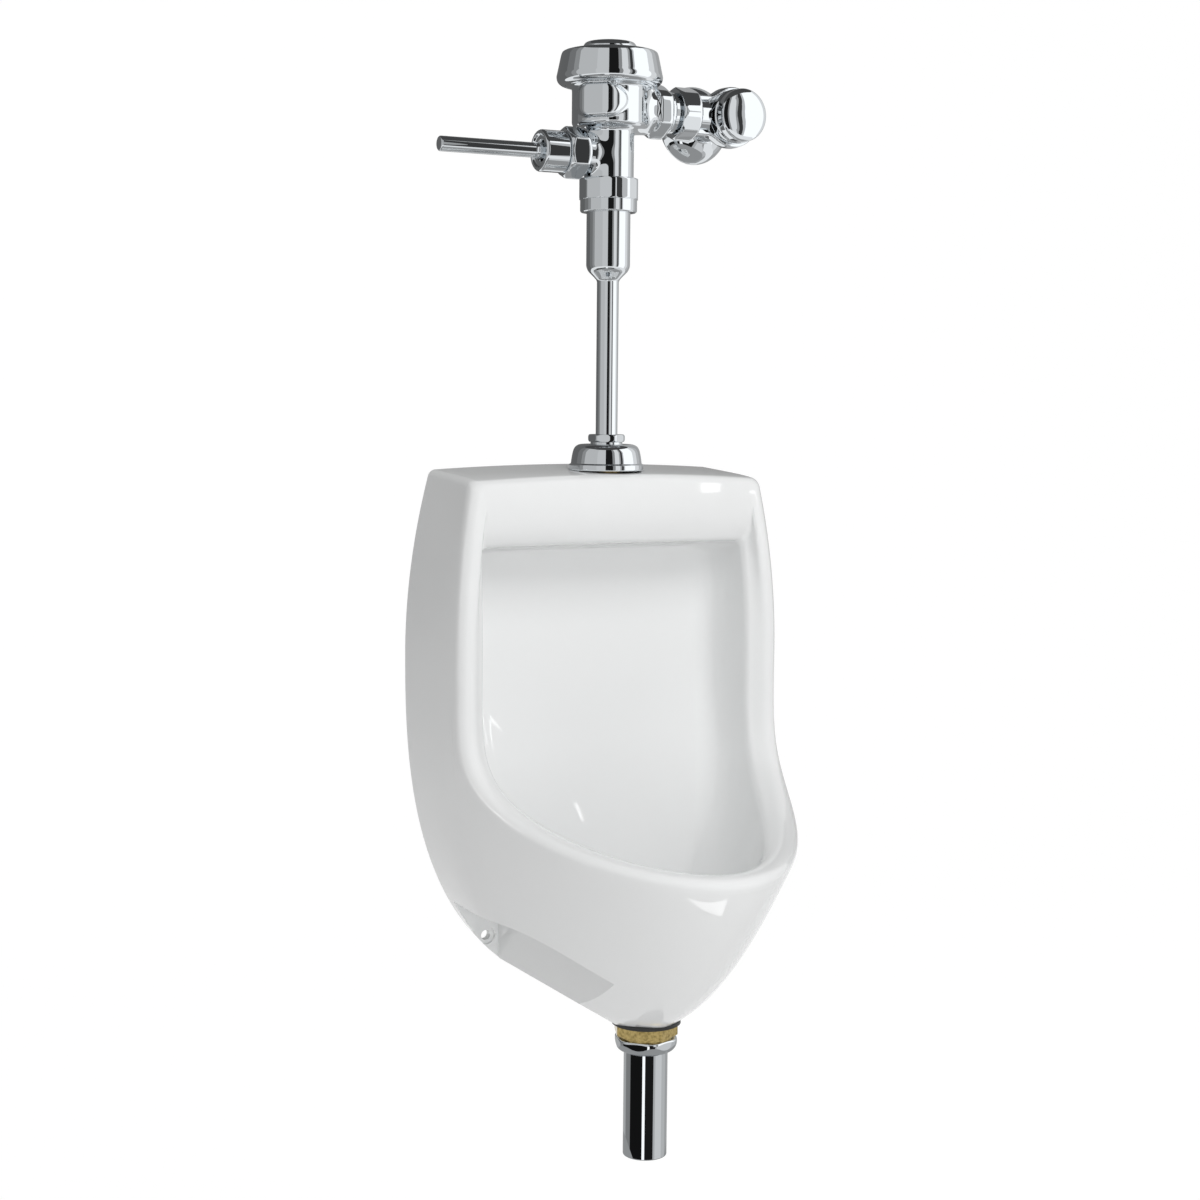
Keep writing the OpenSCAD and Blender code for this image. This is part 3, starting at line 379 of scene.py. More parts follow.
def carve(obj, tool):
    """Cuts a tool out of an object and removes the tool."""
    mod = obj.modifiers.new("cut", "BOOLEAN")
    mod.operation = "DIFFERENCE"
    mod.solver = "EXACT"
    mod.object = tool
    bpy.context.view_layer.objects.active = obj
    with bpy.context.temp_override(object=obj, active_object=obj, selected_objects=[obj]):
        bpy.ops.object.modifier_apply(modifier=mod.name)
    bpy.data.objects.remove(tool)


CORE, CORE_LEAN = 78.0, 6.4             # half width of the foot, and its sides' lean in degrees
FLANGE_T, SCREW_WALL = 17.0, 10.0       # lower wall flange, and what is left at its screws
ROOF_Z, ARC_Y, ARC_R = OUTLET_Z + 87.5, 105.0, 124.6    # roof of the undercut, and its arc
FOOT_FLAT, FOOT_RISE = 33.4, 32.9       # half width of the level foot, degrees of rise beside it
HANGER_X, SCREW_X, POCKET_X = 76.0, 89.0, 91.7      # from the centre line to each side
SCREW_Z, POCKET_Z, POCKET_R = OUTLET_Z + 50, OUTLET_Z + 58, 14      # lower screws, their pockets
WASH_HOLES, WASH_PITCH = 9, 19.1        # the row of holes under the band


def side_cut(side):
    """Room in front of the lower wall flange: a prism along X whose roof is level and then bends
    down in an arc, limited by the nearly upright inner wall."""
    def build(bm):
        """Fills a bmesh with the prism."""
        a = np.radians(np.linspace(90, 0, 24))
        profile = [(-FLANGE_T, ROOF_Z - 190), (-FLANGE_T, ROOF_Z)]
        profile += [(-ARC_Y - ARC_R * math.cos(t), ROOF_Z - ARC_R + ARC_R * math.sin(t)) for t in a]
        profile += [(-ARC_Y - ARC_R, ROOF_Z - 190)]
        turn = math.tan(math.radians(CORE_LEAN))
        near, far = [], []
        for y, z in profile:
            x = CORE + (y + FLANGE_T) * turn
            near.append(bm.verts.new((side * x, y, z)))
            far.append(bm.verts.new((side * 260, y, z)))
        n = len(profile)
        for i in range(n):
            j = (i + 1) % n
            bm.faces.new((near[i], near[j], far[j], far[i]))
        bm.faces.new(near[::-1])
        bm.faces.new(far)
    return cutter(build, "side_cut")


def cuts(bm):
    """Hanger pockets, the open back of the foot, and the holes for the two spuds."""
    for s in (-1, 1):
        block(bm, (s * HANGER_X - 26, -16, -63), (s * HANGER_X + 26, 5, -29))
    block(bm, (-CORE + 26, -56, OUTLET_Z + 28), (CORE - 26, 5, OUTLET_Z + 116))
    cylinder(bm, 17.5, 60, at(0, -SPUD_Y, -40))
    cylinder(bm, 26, 60, at(0, -OUTLET_Y, OUTLET_Z - 5))


def cuts_funnel(bm):
    """Round funnel from the bowl down to the outlet."""
    profile = [(0, 33), (34, 33), (35.5, 34), (39, 38), (43, 44), (47, 52), (50, 62), (52, 74),
               (53, 90), (53, 120), (0, 120)]
    turned(bm, [(r, OUTLET_Z + z) for r, z in profile], 0, -OUTLET_Y)


def cuts_low(bm):
    """Level end of the foot, the round roofs of the screw pockets, and the screws' holes."""
    block(bm, (-250, -400, OUTLET_Z - 90), (250, 30, OUTLET_Z))
    for s in (-1, 1):
        cylinder(bm, POCKET_R, 20, at(s * POCKET_X, -SCREW_WALL, POCKET_Z) @ FRONTWARD)
        cylinder(bm, 4.5, 40, at(s * SCREW_X, 3, SCREW_Z) @ FRONTWARD, 48)


def cuts_seats(bm):
    """Level seats for the two spuds, the screw pockets below their roofs, and the wash holes."""
    cylinder(bm, 33.25, 20, at(0, -SPUD_Y, 2))
    cylinder(bm, 31.1, 50, at(0, -OUTLET_Y, OUTLET_Z + 28))
    for s in (-1, 1):
        block(bm, (s * POCKET_X - POCKET_R, -SCREW_WALL - 20, OUTLET_Z - 20),
              (s * POCKET_X + POCKET_R, -SCREW_WALL, POCKET_Z))
    for i in range(WASH_HOLES):
        cylinder(bm, 2.4, 24, at((i - WASH_HOLES // 2) * WASH_PITCH, -66, -BAND - 8), 32)


def cuts_slope(bm):
    """Straight slopes beside the level foot."""
    for s in (-1, 1):
        tilt = Matrix.Rotation(math.radians(-s * FOOT_RISE), 4, "Y")
        lean = at(s * FOOT_FLAT, -260, OUTLET_Z) @ tilt
        block(bm, (min(0, s * 200), 0, -60), (max(0, s * 200), 260, 0), lean)


def cuts_sink(bm):
    """Flat sinks for the washers of the two screws."""
    for s in (-1, 1):
        cylinder(bm, 8, 12, at(s * SCREW_X, -SCREW_WALL + 2.5, SCREW_Z) @ FRONTWARD, 64)


carve(body, side_cut(1))
carve(body, side_cut(-1))
for build in (cuts_funnel, cuts, cuts_low, cuts_slope, cuts_seats, cuts_sink):
    carve(body, cutter(build, "cutter"))


def shade(obj, degrees=38):
    """Smooth faces, with sharp edges kept past an angle."""
    obj.data.shade_smooth()
    bm = bmesh.new()
    bm.from_mesh(obj.data)
    limit = math.radians(degrees)
    for e in bm.edges:
        if len(e.link_faces) == 2 and e.calc_face_angle() > limit:
            e.smooth = False
    bm.to_mesh(obj.data)
    bm.free()


shade(body)
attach(body, "fixture")
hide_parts("bowl")


# ---------------------------------------------------------------- turned chrome parts
# Where a turned part's own X, Y and Z point, for each direction of its axis
AXES = {"Z": ((1, 0, 0), (0, 1, 0), (0, 0, 1)), "X": ((0, 0, -1), (0, 1, 0), (1, 0, 0)),
        "-X": ((0, 0, 1), (0, 1, 0), (-1, 0, 0)), "-Y": ((1, 0, 0), (0, 0, 1), (0, -1, 0))}
SUPPLY_Z, LEVER_Z, STOP_X = 314.0, 274.0, 120.65        # the valve's two arms, the control stop
BODY_TOP, COUPLING_Z = SUPPLY_Z + 27.6, SUPPLY_Z - 89.0   # top and lower end of the valve body
VALVE, SPUD, OUTLET = (0, -SPUD_Y, 0), (0, -SPUD_Y, 2), (0, -OUTLET_Y, OUTLET_Z)
STOP, SUPPLY = (STOP_X, -SPUD_Y, SUPPLY_Z), (0, -SPUD_Y, SUPPLY_Z)
LEVER = (0, -SPUD_Y, LEVER_Z)


def rounded(corners):
    """Profile with each corner (radius, height, size of rounding) drawn as a parabola that touches
    both edges, and one extra point close to each end of a straight run. Corners on the axis have
    no size and stay."""
    c = [tuple(p) + (0,) * (3 - len(p)) for p in corners]
    closed = c[0][0] > 0
    out = []
    for i, (r, z, size) in enumerate(c):
        if not closed and i in (0, len(c) - 1):
            out.append([(r, z)])
            continue
        p = np.array([r, z])
        a, b = np.array(c[i - 1][:2]), np.array(c[(i + 1) % len(c)][:2])
        la, lb = np.linalg.norm(a - p), np.linalg.norm(b - p)
        d = min(size, 0.49 * la, 0.49 * lb)
        t = np.linspace(0, 1, 8)[:, None]
        s, e = p + (a - p) / la * d, p + (b - p) / lb * d
        arc = (1 - t) ** 2 * s + 2 * t * (1 - t) * p + t * t * e
        before = s + (a - p) / la * min(0.3, 0.01 * la)
        after = e + (b - p) / lb * min(0.3, 0.01 * lb)
        out.append(np.vstack([before, arc, after]))
    return np.vstack(out), closed


def turned_part(name, nodes, origin, axis, corners, flats=None, turn=0.0, sides=144,
                body="fixture", ease=0.7):
    """Chrome surface turned about an axis: the point at angle t of a profile point (r, z) lies at
    radius r, or, with flats = (width across, count, lowest z, highest z), at the soft smaller of r
    and the distance to a regular polygon's side in that direction, between those heights."""
    profile, closed = rounded(corners)
    r, z = profile[:, :1], profile[:, 1:]
    t = np.linspace(0, 2 * math.pi, sides, endpoint=False)[None, :]
    radius = np.repeat(r, sides, axis=1)
    if flats:
        width, count, low, high = flats
        step = 2 * math.pi / count
        side = width / 2 / np.cos((t - math.radians(turn) + step / 2) % step - step / 2)
        soft = 0.5 * (radius + side - np.sqrt((radius - side) ** 2 + ease ** 2))
        soft = np.minimum(soft + 0.5 * ease * 0.2, radius)
        inside = (z >= low) & (z <= high) & (radius > width / 2 * 0.9)
        radius = np.where(inside, soft, radius)
    local = np.stack([radius * np.cos(t), radius * np.sin(t), np.repeat(z, sides, axis=1)], axis=2)
    points = local.reshape(-1, 3) @ np.array(AXES[axis], float) + np.array(origin, float)
    k = len(profile)
    row = np.arange(k if closed else k - 1)[:, None]
    i = np.arange(sides)[None, :]
    j, nxt = (i + 1) % sides, (row + 1) % k
    quads = [row * sides + i, row * sides + j, nxt * sides + j, nxt * sides + i]
    faces = np.stack(quads, axis=2).reshape(-1, 4)
    obj = mesh_object(name, points, faces.tolist(), chrome)
    seal(obj)
    obj.data.shade_smooth()
    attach(obj, body)
    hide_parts(*nodes)


def seal(obj):
    """Merges doubles, such as those on the axis, and turns the faces outwards."""
    bm = bmesh.new()
    bm.from_mesh(obj.data)
    bmesh.ops.remove_doubles(bm, verts=bm.verts, dist=2e-6)
    bmesh.ops.dissolve_degenerate(bm, edges=bm.edges, dist=1e-7)
    bmesh.ops.recalc_face_normals(bm, faces=bm.faces)
    bm.to_mesh(obj.data)
    bm.free()


z0, z1 = BODY_TOP - 9.2, SUPPLY_Z + 47.6    # the cover's lower edge and its shoulder
turned_part("cap_cover_shell", ["cap_cover"], VALVE, "Z", [
    (0, z1 + 7.6), (19.5, z1 + 7.6, 2), (21.3, z1 + 7.1, 2), (23.5, z1 + 4, 2),
    (23.9, z1 + 0.5, 0.6), (38.6, z1, 2), (41.1, z1 - 0.9, 1.2), (42.1, z1 - 3.6, 3),
    (45.4, z0 + 10, 4), (46, z0 + 7.6, 3), (45.7, z0 + 5, 2), (44.6, z0 + 2.6, 2),
    (42.4, z0 + 0.8, 2), (39, z0, 1), (38.3, z0, 0.2), (38.3, BODY_TOP + 6.3, 0.2),
    (32, BODY_TOP + 6.3, 0.2), (32, BODY_TOP + 16.6, 0.3), (0, BODY_TOP + 16.6)], sides=192)
low, top = COUPLING_Z - 48, COUPLING_Z + 12     # the wide tube's lower end and its rolled top
turned_part("flush_tube_pipe", ["flush_tube"], VALVE, "Z", [
    (8.525, -8, 0.1), (9.525, -8, 0.3), (9.525, low - 10.5, 3), (12, low - 7.6, 2.5),
    (17.2, low - 2.6, 3.5), (19.05, low + 1.4, 3), (19.05, top - 2, 0.2), (20.95, top - 2, 0.2),
    (20.95, top, 0.2), (17.75, top, 0.2), (17.75, low + 0.6, 1), (8.525, low - 10.4, 1)])
c = COUPLING_Z      # the coupling nut's lower end
turned_part("coupling_nut", ["outlet_coupling"], VALVE, "Z", [
    (19.45, c, 0.2), (23.7, c, 0.2), (24.7, c + 1, 1.2), (24.7, c + 10.9, 0.2), (25.6, c + 11, 0.3),
    (26.5, c + 12.2, 1), (26.5, c + 27.6, 1.2), (25.1, c + 29, 1), (21.75, c + 29, 0.3),
    (21.75, c + 9.9, 0.2), (19.45, c + 9.9, 0.2)], flats=(50.8, 12, c + 11.1, c + 28.5))
turned_part("bell_cover", ["bell_flange"], SPUD, "Z", [
    (14.3, 23, 0.3), (21.75, 23, 2), (24.75, 22.4, 2), (27.55, 20.6, 3), (29.15, 17.5, 3),
    (30.35, 12, 4), (31.15, 6, 0.6), (32.05, 5.7, 0.5), (32.75, 5, 0.7), (32.75, 0.8, 0.7),
    (32.25, 0.1, 0.3), (30.55, 0.1, 0.1), (30.15, 5, 1), (27.95, 17, 2), (24.75, 20.6, 1),
    (21.75, 21.4, 1), (14.3, 21.4, 0.3)], sides=160)
turned_part("tube_nut", ["spud_nut"], SPUD, "Z", [
    (9.825, 21.1, 0.1), (12.6, 21.1, 0.1), (12.6, 9.6, 0.1), (14, 9.6, 0.1), (14, 24.8, 0.2),
    (15.3, 25, 0.4), (16.2, 26.4, 0.8), (16.2, 30.1, 0.8), (15.1, 31.5, 0.8), (9.825, 31.5, 0.2)],
    flats=(29, 6, 25, 31.5))
turned_part("slip_nut_body", ["slip_nut"], OUTLET, "Z", [
    (19.55, -27.5, 0.2), (21.2, -27.5, 0.8), (24.2, -26.4, 2), (26.4, -23.6, 2.5),
    (27.5, -20.2, 2.5), (27.5, -16.8, 1), (26.2, -15.5, 1), (24.2, -15.5, 0.2), (24.2, -25.2, 0.1),
    (19.55, -25.2, 0.1)], flats=(51.6, 6, -24.6, -15.2), turn=45, ease=1.2)
turned_part("tailpiece_pipe", ["tailpiece"], OUTLET, "Z", [
    (17.65, -121.1, 0.4), (19.05, -121.1, 0.6), (19.05, -28.5, 0.1), (18.65, -28.5, 0.1),
    (18.65, -4, 0.1), (17.65, -4, 0.1)])
turned_part("handle_hex_nut", ["handle_nut"], LEVER, "-X", [
    (15.5, 28.2, 0.1), (17.2, 28.2, 0.1), (17.2, 26, 0.1), (19.4, 26, 0.6), (22.4, 28.6, 1.6),
    (22.4, 42.4, 1.6), (19.4, 45, 0.6), (15.5, 45, 0.1)],
    flats=(39.5, 6, 26, 45), turn=30, ease=1.0)
turned_part("handle_socket", ["handle_collar"], LEVER, "-X", [
    (11.6, 38.7, 0.1), (15.4, 38.7, 0.1), (15.4, 45.1, 0.1), (17, 45.1, 0.4), (17.75, 45.9, 0.6),
    (17.75, 66.4, 1.6), (16.4, 68, 1), (14.6, 68, 0.6), (12.6, 65.8, 0.8), (9.6, 65.8, 0.5),
    (8.4, 64, 0.2), (8.4, 63.3, 0.1), (9.5, 61.8, 0.1), (10.2, 60.5, 0.1), (10.75, 59, 0.1),
    (11.1, 57.5, 0.1), (11.6, 56, 0.1), (11.6, 52, 0.2)])
turned_part("lever_rod", ["lever"], LEVER, "-X", [
    (0, 50), (9.22, 50, 0.3), (10.6, 53, 2.5), (11, 56, 2.5), (10.4, 59.6, 2.5), (8.8, 62.2, 1.5),
    (6.9, 63.6, 1), (6.9, 69, 0.5), (6.35, 71.4, 1), (6.35, 159, 0.9), (5.4, 160, 0.6), (0, 160)],
    body="lever")
turned_part("supply_tail", ["tail_tube"], SUPPLY, "X", [
    (11.5, 36.5, 0.1), (15.1, 36.5, 0.1), (15.1, 57.1, 0.1), (18, 57.1, 0.4), (18, 61, 0.8),
    (14.2, 61, 0.3), (14.2, STOP_X - 26, 0.1), (11.5, STOP_X - 26, 0.1)])
turned_part("supply_nut", ["tail_nut"], SUPPLY, "X", [
    (14.5, 63, 0.1), (20.9, 63, 0.8), (23.3, 65.4, 1.2), (23.3, 79.6, 1.2), (20.9, 82, 0.8),
    (18.6, 82, 0.1), (18.6, 66.9, 0.1), (14.5, 66.9, 0.1)],
    flats=(43.4, 8, 63, 82), turn=22.5, ease=0.8)
f = 8.0     # mm, the stop body's front face from its axis
turned_part("stop_dome", ["stop_cap"], STOP, "-Y", [
    (0, 31), (7, 30.8, 6), (13, 30.1, 6), (19, 28.4, 5), (22.3, 26.6, 3), (23, 25, 2),
    (23, f + 10, 0.5), (22.4, f + 9, 0.4), (22.4, f + 8, 0.4), (23.7, f + 7, 0.4),
    (23.7, f + 0.4, 0.3), (23.1, f + 0.3, 0.1), (23.1, f + 3.1, 0.1), (20.6, f + 3.1, 0.1),
    (20.6, 25, 0.3), (0, 25)], sides=160)
turned_part("wall_escutcheon", ["wall_flange"], (STOP_X, 0, SUPPLY_Z), "-Y", [
    (16.3, 21, 0.2), (17.4, 21, 0.4), (17.9, 20.4, 0.6), (21, 18.6, 3), (26, 15.5, 4),
    (30.6, 11, 4), (33.6, 6, 4), (35, 1.6, 1), (35, 0, 0.3), (33.5, 0, 0.1), (32, 6, 3),
    (29, 10.4, 3), (24, 14.6, 3), (16.3, 17.4, 0.5)], sides=160)
turned_part("supply_cover", ["covering_tube"], STOP, "-Y", [
    (15, -63.2, 0.1), (16.2, -63.2, 0.2), (16.2, -36.1, 0.2), (15, -36.1, 0.1)])


# ---------------------------------------------------------------- cast chrome parts
def drum(a, b, axial, radius, low, high, edge):
    """Distance to a drum with rounded edges about an axis; a and b are the offsets across it."""
    q1 = np.hypot(a, b) - radius + edge
    q2 = np.abs(axial - (low + high) / 2) - (high - low) / 2 + edge
    outside = np.hypot(np.maximum(q1, 0), np.maximum(q2, 0))
    return outside + np.minimum(np.maximum(q1, q2), 0) - edge


def join(a, b, k):
    """Smaller of two distances, blended by a parabola where they differ by less than k."""
    h = np.maximum(k - np.abs(a - b), 0) / k
    return np.minimum(a, b) - h * h * k / 4


def overlap(a, b, k):
    """Larger of two distances, blended in the same way."""
    return -join(-a, -b, k)


def polygon(a, b, count, apothem):
    """Distance to a regular prism with its first side's middle on a; a and b are the offsets across
    its axis."""
    step = 2 * math.pi / count
    angle = (np.arctan2(b, a) + step / 2) % step - step / 2
    return np.hypot(a, b) * np.cos(angle) - apothem


# The wrench pad on the valve body: its face from the axis, its slanted sides from the axis, half
# its width and height, where its corners are cut, and its middle above the supply's height
PAD_FACE, PAD_SLANT, PAD_W, PAD_H, PAD_CORNER, PAD_Z = 37.4, 34.4, 23.5, 14.4, 20.4, 3.2
# The grip on the supply arm: half widths across flats and corners, its middle and half length
GRIP_FLAT, GRIP_R, GRIP_X, GRIP_L = 21.4, 23.8, 45.5, 7.5
# The branch of the control stop, in the same way
BRANCH_FLAT, BRANCH_R, BRANCH_X, BRANCH_L = 17.6, 18.4, -30, 19.6


def valve_field(x, y, z):
    """Distance to the valve body: barrel, chamber with its top flange, a raised wrench pad at the
    front left, supply arm with a six-sided grip near its end, and lever boss, each blended into
    the next as in a casting, less the bores."""
    y = y + SPUD_Y
    barrel = drum(x, y, z, 21.5, COUPLING_Z + 15, 310, 0.6)
    room = drum(x, y, z, 32.5, SUPPLY_Z - 17, BODY_TOP - 2, 4.5)
    top = drum(x, y, z, 38, BODY_TOP - 9.6, BODY_TOP, 1.0)
    body = join(join(barrel, room, 7), top, 5)
    u, v = (x - y) * 0.70711, -(x + y) * 0.70711
    sides = overlap(v - PAD_FACE, np.abs(u) * 0.766 + v * 0.643 - PAD_SLANT, 7.0)
    sides = overlap(sides, overlap(np.abs(u) - PAD_W, 12 - v, 0.5), 2.0)
    height = np.abs(z - SUPPLY_Z - PAD_Z)
    ends = overlap(height - PAD_H, (np.abs(u) + height) * 0.7071 - PAD_CORNER, 5.0)
    body = join(body, overlap(sides, ends, 4.0), 0.8)
    arm = drum(y, z - SUPPLY_Z, x, 19, 0, 57, 1.2)
    root = drum(y, z - SUPPLY_Z, x, 20.5, 0, 44, 2.5)
    body = join(body, join(arm, root, 1.2), 6)
    flat = polygon(y, z - SUPPLY_Z, 6, GRIP_FLAT)
    grip = overlap(flat, np.hypot(y, z - SUPPLY_Z) - GRIP_R, 2.5)
    grip = overlap(grip, np.abs(x - GRIP_X) - GRIP_L, 3.0)
    body = join(body, grip, 1.0)
    boss = join(drum(y, z - LEVER_Z, -x, 17, 0, 27.6, 1.0),
                drum(y, z - LEVER_Z, -x, 15.4, 0, 36, 0.4), 0.4)
    body = join(body, boss, 5)
    bore = join(drum(x, y, z, 16, COUPLING_Z, SUPPLY_Z - 19, 0.2),
                drum(x, y, z, 14, SUPPLY_Z - 24, BODY_TOP + 9, 0.2), 0.1)
    ring_room = overlap(drum(x, y, z, 28, SUPPLY_Z - 14, BODY_TOP + 9, 0.2),
                        17 - np.hypot(x, y), 0.1)
    arm_bore = join(drum(y, z - SUPPLY_Z, x, 13, 19, 70, 0.1),
                    drum(y, z - SUPPLY_Z, x, 15.2, 35.5, 70, 0.1), 0.1)
    boss_bore = drum(y, z - LEVER_Z, -x, 7.5, 10, 50, 0.1)
    for cut in (bore, ring_room, arm_bore, boss_bore):
        body = overlap(body, -cut, 0.3)
    return body


def stop_field(x, y, z):
    """Distance to the control stop's body: a drum with its axis to the room, an octagonal branch
    towards the valve and a neck towards the wall, blended as in a casting, less the bores."""
    y, z, x = -(y + SPUD_Y), z - SUPPLY_Z, x - STOP_X
    shell = join(drum(x, z, y, 26.3, -3, 8, 1.4), drum(x, z, y, 24.2, -12, 6, 6), 5)
    shell = join(shell, drum(x, z, y, 17.3, -36, 0, 0.8), 9)
    flat = polygon(y, z, 8, BRANCH_FLAT)
    branch = overlap(flat, np.hypot(y, z) - BRANCH_R, 1.0)
    branch = overlap(branch, np.abs(x - BRANCH_X) - BRANCH_L, 1.0)
    shell = join(shell, branch, 5)
    shell = overlap(shell, np.abs(y + 14) - 22, 0.6)
    for cut in (drum(x, z, y, 12.5, -50, -21, 0.1), drum(x, z, y, 9, -36, 0, 0.1),
                drum(x, z, y, 19, -8, 30, 0.1), drum(y, z, -x, 7.4, 5, 40, 0.1),
                drum(y, z, -x, 14.25, 25.9, 90, 0.1)):
        shell = overlap(shell, -cut, 0.3)
    return shell


def cast_part(name, nodes, field, low, high, cell):
    """Surface on which a field of signed distances is zero. The field is taken on a grid; each cell
    that the surface crosses gets one point, the mean of the crossings on its twelve edges, and each
    grid edge that it crosses gets one face between the four cells round it. The points are then
    moved along the field's slope until the field is zero there."""
    spans = [np.arange(a, b + cell, cell) for a, b in zip(low, high)]
    grid = np.meshgrid(*spans, indexing="ij")
    value = field(*grid)
    inside = value < 0
    shape = np.array(value.shape) - 1
    corners = [(i, j, k) for i in (0, 1) for j in (0, 1) for k in (0, 1)]

    def part(array, c):
        """The array at corner c of each cell."""
        return array[c[0]:c[0] + shape[0], c[1]:c[1] + shape[1], c[2]:c[2] + shape[2]]

    count = sum(part(inside, c).astype(int) for c in corners)
    active = (count > 0) & (count < 8)
    index = np.full(shape, -1)
    index[active] = np.arange(active.sum())
    total, hits = np.zeros((active.sum(), 3)), np.zeros((active.sum(), 1))
    base = np.argwhere(active)
    for a in corners:
        for axis in range(3):
            if a[axis]:
                continue
            b = tuple(v + (n == axis) for n, v in enumerate(a))
            va, vb = part(value, a)[active], part(value, b)[active]
            cross = ((va < 0) != (vb < 0))[:, None]
            share = (va / np.where(va == vb, 1, va - vb))[:, None]
            place = base + np.array(a) + share * (np.array(b) - np.array(a))
            total += np.where(cross, place, 0)
            hits += cross
    points = np.array(low) + total / hits * cell
    for _ in range(4):
        slope = np.stack([(field(*(points + e).T) - field(*(points - e).T)) / 0.02
                          for e in np.eye(3) * 0.01], axis=1)
        size = np.maximum(np.linalg.norm(slope, axis=1, keepdims=True), 0.3)
        points -= slope / size * np.clip(field(*points.T)[:, None] / size, -cell / 2, cell / 2)
    faces = []
    for axis in range(3):
        o, p = [n for n in range(3) if n != axis]
        ahead = np.take(inside, range(1, inside.shape[axis]), axis)
        here = np.take(inside, range(inside.shape[axis] - 1), axis)
        at_edge = np.argwhere(here != ahead)
        within = (at_edge[:, o] > 0) & (at_edge[:, p] > 0)
        within &= (at_edge[:, o] < shape[o]) & (at_edge[:, p] < shape[p])
        at_edge = at_edge[within]
        quad = []
        for do, dp in ((-1, -1), (0, -1), (0, 0), (-1, 0)):
            q = at_edge.copy()
            q[:, o] += do
            q[:, p] += dp
            quad.append(index[tuple(q.T)])
        faces.append(np.stack(quad, axis=1))
    obj = mesh_object(name, points, np.vstack(faces).tolist(), chrome)
    seal(obj)
    obj.data.shade_smooth()
    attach(obj, "fixture")
    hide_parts(*nodes)


cast_part("valve_casting", ["valve_body"], valve_field,
          (-40, -SPUD_Y - 42, 236), (62, -SPUD_Y + 42, 345), 1.25)
cast_part("stop_casting", ["stop_body"], stop_field,
          (66, -SPUD_Y - 12, SUPPLY_Z - 30), (152, -SPUD_Y + 40, SUPPLY_Z + 30), 1.1)


# ---------------------------------------------------------------- room, light and camera
FLOOR, BEND = -0.95, 1.5                    # metres: the floor's height, and its bend's radius
WALL_R, WALL_LOW, WALL_HIGH = 2.4, -0.94, 2.6   # metres: the cards that stand round the part


def staged(name, points, faces, material):
    """Sheet in metres that is not part of the object."""
    mesh = bpy.data.meshes.new(name)
    mesh.from_pydata(points, [], faces)
    mesh.materials.append(material)
    obj = bpy.data.objects.new(name, mesh)
    bpy.context.scene.collection.objects.link(obj)
    obj.data.shade_smooth()
    return obj


def sweep_material():
    """Matt white sheet. The camera and mirrors see it as near white, and a tenth of what they see
    is the sheet's own shaded paint, which keeps the object's shadow."""
    mat = bpy.data.materials.new("white_sweep")
    mat.use_nodes = True
    tree = mat.node_tree
    tree.nodes.clear()
    paint = add(tree, "ShaderNodeBsdfDiffuse", Color=linear("#f4f4f4"))
    light = add(tree, "ShaderNodeEmission", Color=(1, 1, 1, 1), Strength=1.06)
    path = add(tree, "ShaderNodeLightPath")
    seen = add(tree, "ShaderNodeMath",
               [(0, path, "Is Camera Ray"), (1, path, "Is Glossy Ray")], operation="MAXIMUM")
    share = add(tree, "ShaderNodeMath", [(0, seen, 0)], operation="MULTIPLY")
    share.inputs[1].default_value = 0.9
    mix = add(tree, "ShaderNodeMixShader", [(0, share, 0), (1, paint, 0), (2, light, 0)])
    add(tree, "ShaderNodeOutputMaterial", [("Surface", mix, 0)])
    return mat


def sweep():
    """Floor that curves up into a wall far behind the part: a straight run, a quarter circle and
    an upright, drawn across the whole width."""
    a = np.radians(np.linspace(0, 90, 24))
    y = np.concatenate([[-7.0], 2.0 + BEND * np.sin(a), [2.0 + BEND]])
    z = np.concatenate([[FLOOR], FLOOR + BEND * (1 - np.cos(a)), [6.0]])
    n = len(y)
    points = [(x, float(v), float(w)) for x in (-8.0, 8.0) for v, w in zip(y, z)]
    faces = [(i, n + i, n + i + 1, i + 1) for i in range(n - 1)]
    staged("sweep", points, faces, sweep_material())


sweep()


def card(name, points, faces, strength, polished, fade=None):
    """Glowing sheet that neither the camera nor matt surfaces see. A polished card shows only in
    true mirrors, such as the chrome; the others show only in surfaces with a soft gloss. A fade
    gives the two heights between which the strength goes over from 1 to its own value."""
    key = "card_%g_%d%s" % (strength, polished, "_fading" if fade else "")
    mat = bpy.data.materials.get(key) or bpy.data.materials.new(key)
    mat.use_nodes = True
    tree = mat.node_tree
    tree.nodes.clear()
    glow = add(tree, "ShaderNodeEmission", Color=(1, 1, 1, 1), Strength=strength)
    if fade:
        place = add(tree, "ShaderNodeTexCoord")
        split = add(tree, "ShaderNodeSeparateXYZ", [(0, place, "Object")])
        ramp = add(tree, "ShaderNodeMapRange", [(0, split, "Z")], interpolation_type="SMOOTHSTEP")
        for k, v in ((1, fade[0]), (2, fade[1]), (3, 1.0), (4, strength)):
            ramp.inputs[k].default_value = v
        tree.links.new(ramp.outputs[0], glow.inputs["Strength"])
    clear = add(tree, "ShaderNodeBsdfTransparent")
    path = add(tree, "ShaderNodeLightPath")
    order = (clear, glow) if polished else (glow, clear)
    kinds = ("BSDF", "Emission") if polished else ("Emission", "BSDF")
    mix = add(tree, "ShaderNodeMixShader",
              [(0, path, "Is Singular Ray"), (1, order[0], kinds[0]), (2, order[1], kinds[1])])
    add(tree, "ShaderNodeOutputMaterial", [("Surface", mix, 0)])
    obj = staged(name, points, faces, mat)
    obj.visible_camera = obj.visible_diffuse = False
    obj.visible_shadow = obj.visible_transmission = False


